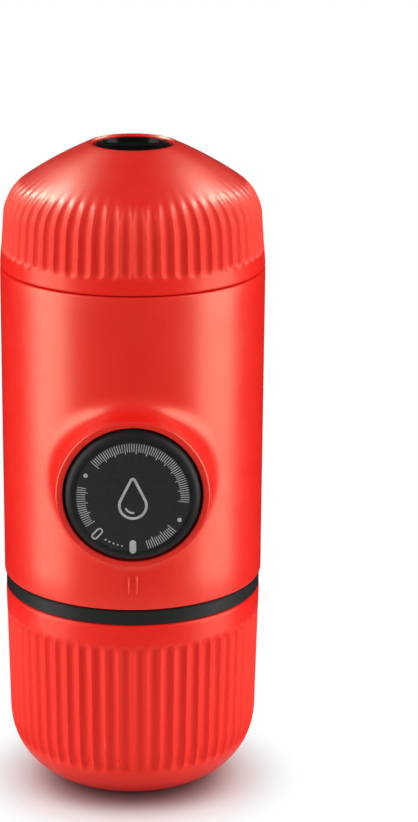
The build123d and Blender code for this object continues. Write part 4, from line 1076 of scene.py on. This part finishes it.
ROOM_SHEEN = 0.2  # how much of all that shows in a gloss
FLOOR_CENTRE = (0, -0.006, 0)
# The contact shadow below is painted on the floor, dark and reddish, round FLOOR_CENTRE.
FLOOR_PAINTED_SHADOW = (0.014, 0.029)  # the contact shadow fades between these distances from it
FLOOR_SEEN = (0.018, 0.042)  # the lit floor turns to plain white between these, for the camera
FLOOR_LIT = (0.07, 0.13)  # and it ends between these for all other light
FLOOR_HALF = 6.0
# Colour of the painted contact shadow, reddish as the object's light would make it.
PAINTED_SHADOW_COLOUR = (0.3, 0.21, 0.21)
# A cool grey, which takes out some of the red light that the object throws on the floor.
FLOOR_COLOUR = (0.84, 0.9, 0.9)


def make_floor():
    """A pale floor under the object with a painted contact shadow round the cup's foot, which gives
    way to plain white further out.
    """
    mesh = bpy.data.meshes.new("floor")
    corners = [(x * FLOOR_HALF, y * FLOOR_HALF, 0) for x, y in ((-1, -1), (1, -1), (1, 1), (-1, 1))]
    mesh.from_pydata(corners, [], [(0, 1, 2, 3)])
    floor = bpy.data.objects.new("floor", mesh)
    bpy.context.scene.collection.objects.link(floor)
    f = Finish("white_sweep", Roughness=0.35)
    distance = f.node(
        "ShaderNodeVectorMath", {0: f.place, 1: FLOOR_CENTRE}, operation="DISTANCE"
    ).outputs["Value"]

    def fade(first, last):
        return f.node(
            "ShaderNodeMapRange",
            {"Value": distance, "From Min": first, "From Max": last},
            interpolation_type="SMOOTHSTEP",
        ).outputs["Result"]

    # Painted contact shadow: near FLOOR_CENTRE the floor's colour turns dark and reddish.
    shade = f.tint(fade(*FLOOR_PAINTED_SHADOW), PAINTED_SHADOW_COLOUR, FLOOR_COLOUR)
    glow = f.node("ShaderNodeEmission", {"Color": (1, 1, 1, 1), "Strength": 1.0})
    clear = f.node("ShaderNodeBsdfTransparent")
    seen = f.node("ShaderNodeLightPath").outputs["Is Camera Ray"]
    away = f.node(
        "ShaderNodeMix", {"Factor": seen, "A": fade(*FLOOR_LIT), "B": fade(*FLOOR_SEEN)}
    ).outputs["Result"]
    far = f.node(
        "ShaderNodeMixShader", {0: seen, 1: clear.outputs["BSDF"], 2: glow.outputs["Emission"]}
    )
    mixed = f.node(
        "ShaderNodeMixShader", {0: away, 1: f.shader.outputs["BSDF"], 2: far.outputs["Shader"]}
    )
    output = f.tree.nodes["Material Output"]
    f.tree.links.new(mixed.outputs["Shader"], output.inputs["Surface"])
    mesh.materials.append(f.done(shade))
    floor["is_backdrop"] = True


def make_light(name, place, aim, size, power):
    """A soft panel of light that faces a point on the object."""
    light = bpy.data.lights.new(name, "AREA")
    light.shape = "RECTANGLE"
    light.size, light.size_y = size
    light.energy = power
    light.color = LIGHT_COLOUR
    lamp = bpy.data.objects.new(name, light)
    bpy.context.scene.collection.objects.link(lamp)
    lamp.location = place
    lamp.rotation_euler = (Vector(aim) - lamp.location).to_track_quat("-Z", "Y").to_euler()
    return lamp


def make_lights():
    """A tall soft light at each side, and panels beyond that only add sheen to the dome."""
    a = math.radians(LIGHT_AZIMUTH)
    x, y, z = (LIGHT_DISTANCE * c for c in SHEEN_DIRECTION)
    lit = bpy.data.collections.new("lit_by_sheen_panels")
    lit.objects.link(dome)
    for side, name, power in zip((-1, 1), ("left", "right"), SHEEN_POWERS):
        place = (side * LIGHT_DISTANCE * math.sin(a), -LIGHT_DISTANCE * math.cos(a), LIGHT_CENTRE_Z)
        make_light("soft_light_" + name, place, LIGHT_AIM, LIGHT_SIZE, LIGHT_POWER)
        top = (0, 0, dome_top_z * MM)
        place = (side * x, y, z + top[2])
        sheen = make_light("sheen_panel_" + name, place, top, (SHEEN_SIZE, SHEEN_SIZE), power)
        sheen.visible_diffuse = False
        sheen.light_linking.receiver_collection = lit


def make_world():
    """White for the camera, and a dim room, brighter before the object, for all other light."""
    world = bpy.data.worlds.new("studio")
    world.use_nodes = True
    bpy.context.scene.world = world
    tree = world.node_tree
    tree.nodes.clear()
    new, link = tree.nodes.new, tree.links.new

    def ranged(value, start, end, low, high):
        node = new("ShaderNodeMapRange")
        node.interpolation_type = "SMOOTHSTEP"
        limits = {"From Min": start, "From Max": end, "To Min": low, "To Max": high}
        for key, number in limits.items():
            node.inputs[key].default_value = number
        link(value, node.inputs["Value"])
        return node.outputs["Result"]

    def math_of(operation, first, second):
        node = new("ShaderNodeMath")
        node.operation = operation
        link(first, node.inputs[0])
        link(second, node.inputs[1])
        return node.outputs[0]

    split = new("ShaderNodeSeparateXYZ")
    link(new("ShaderNodeTexCoord").outputs["Generated"], split.inputs[0])
    height, depth = split.outputs["Z"], split.outputs["Y"]
    canopy = math_of(
        "MULTIPLY", ranged(height, *CANOPY_START, 0.0, 1.0), ranged(height, *CANOPY_END, 0.0, 1.0)
    )
    canopy = math_of("MULTIPLY", canopy, ranged(depth, *CANOPY_TURN, 0.0, ROOM_CANOPY))
    glow = ranged(depth, *ROOM_TURN, ROOM_BACK, ROOM_GLOW)
    path = new("ShaderNodeLightPath")
    share = ranged(path.outputs["Is Glossy Ray"], 0.0, 1.0, 1.0, ROOM_SHEEN)
    room = math_of("MULTIPLY", math_of("ADD", canopy, glow), share)
    around = new("ShaderNodeBackground")
    link(room, around.inputs["Strength"])
    backdrop = new("ShaderNodeBackground")
    mix = new("ShaderNodeMixShader")
    link(path.outputs["Is Camera Ray"], mix.inputs[0])
    link(around.outputs[0], mix.inputs[1])
    link(backdrop.outputs[0], mix.inputs[2])
    link(mix.outputs[0], new("ShaderNodeOutputWorld").inputs["Surface"])
    for background in (around, backdrop):
        background.inputs["Color"].default_value = (1, 1, 1, 1)


CAMERA_PLACE = (0.0, -0.642, 0.2892)
CAMERA_TILT = 72.843  # degrees from straight down
CAMERA_YAW = -1.542  # degrees
CAMERA_LENS = 123.875
SENSOR_WIDTH = 36.0


def make_camera():
    """A long lens before the object, a little above it, as the photograph was taken."""
    camera = bpy.data.cameras.new("camera")
    camera.lens = CAMERA_LENS
    camera.sensor_width = SENSOR_WIDTH
    camera.clip_start = 0.01
    rig = bpy.data.objects.new("camera", camera)
    bpy.context.scene.collection.objects.link(rig)
    tilt = Matrix.Rotation(math.radians(CAMERA_TILT), 4, "X")
    yaw = Matrix.Rotation(math.radians(CAMERA_YAW), 4, "Y")
    rig.matrix_world = Matrix.Translation(CAMERA_PLACE) @ tilt @ yaw
    bpy.context.scene.camera = rig


make_floor()
make_lights()
make_world()
make_camera()
bpy.context.scene.view_settings.view_transform = "Standard"

boxes = {"cad": cad_box, "visual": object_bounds()}
{key: [list(corner) for corner in pair] for key, pair in boxes.items()}
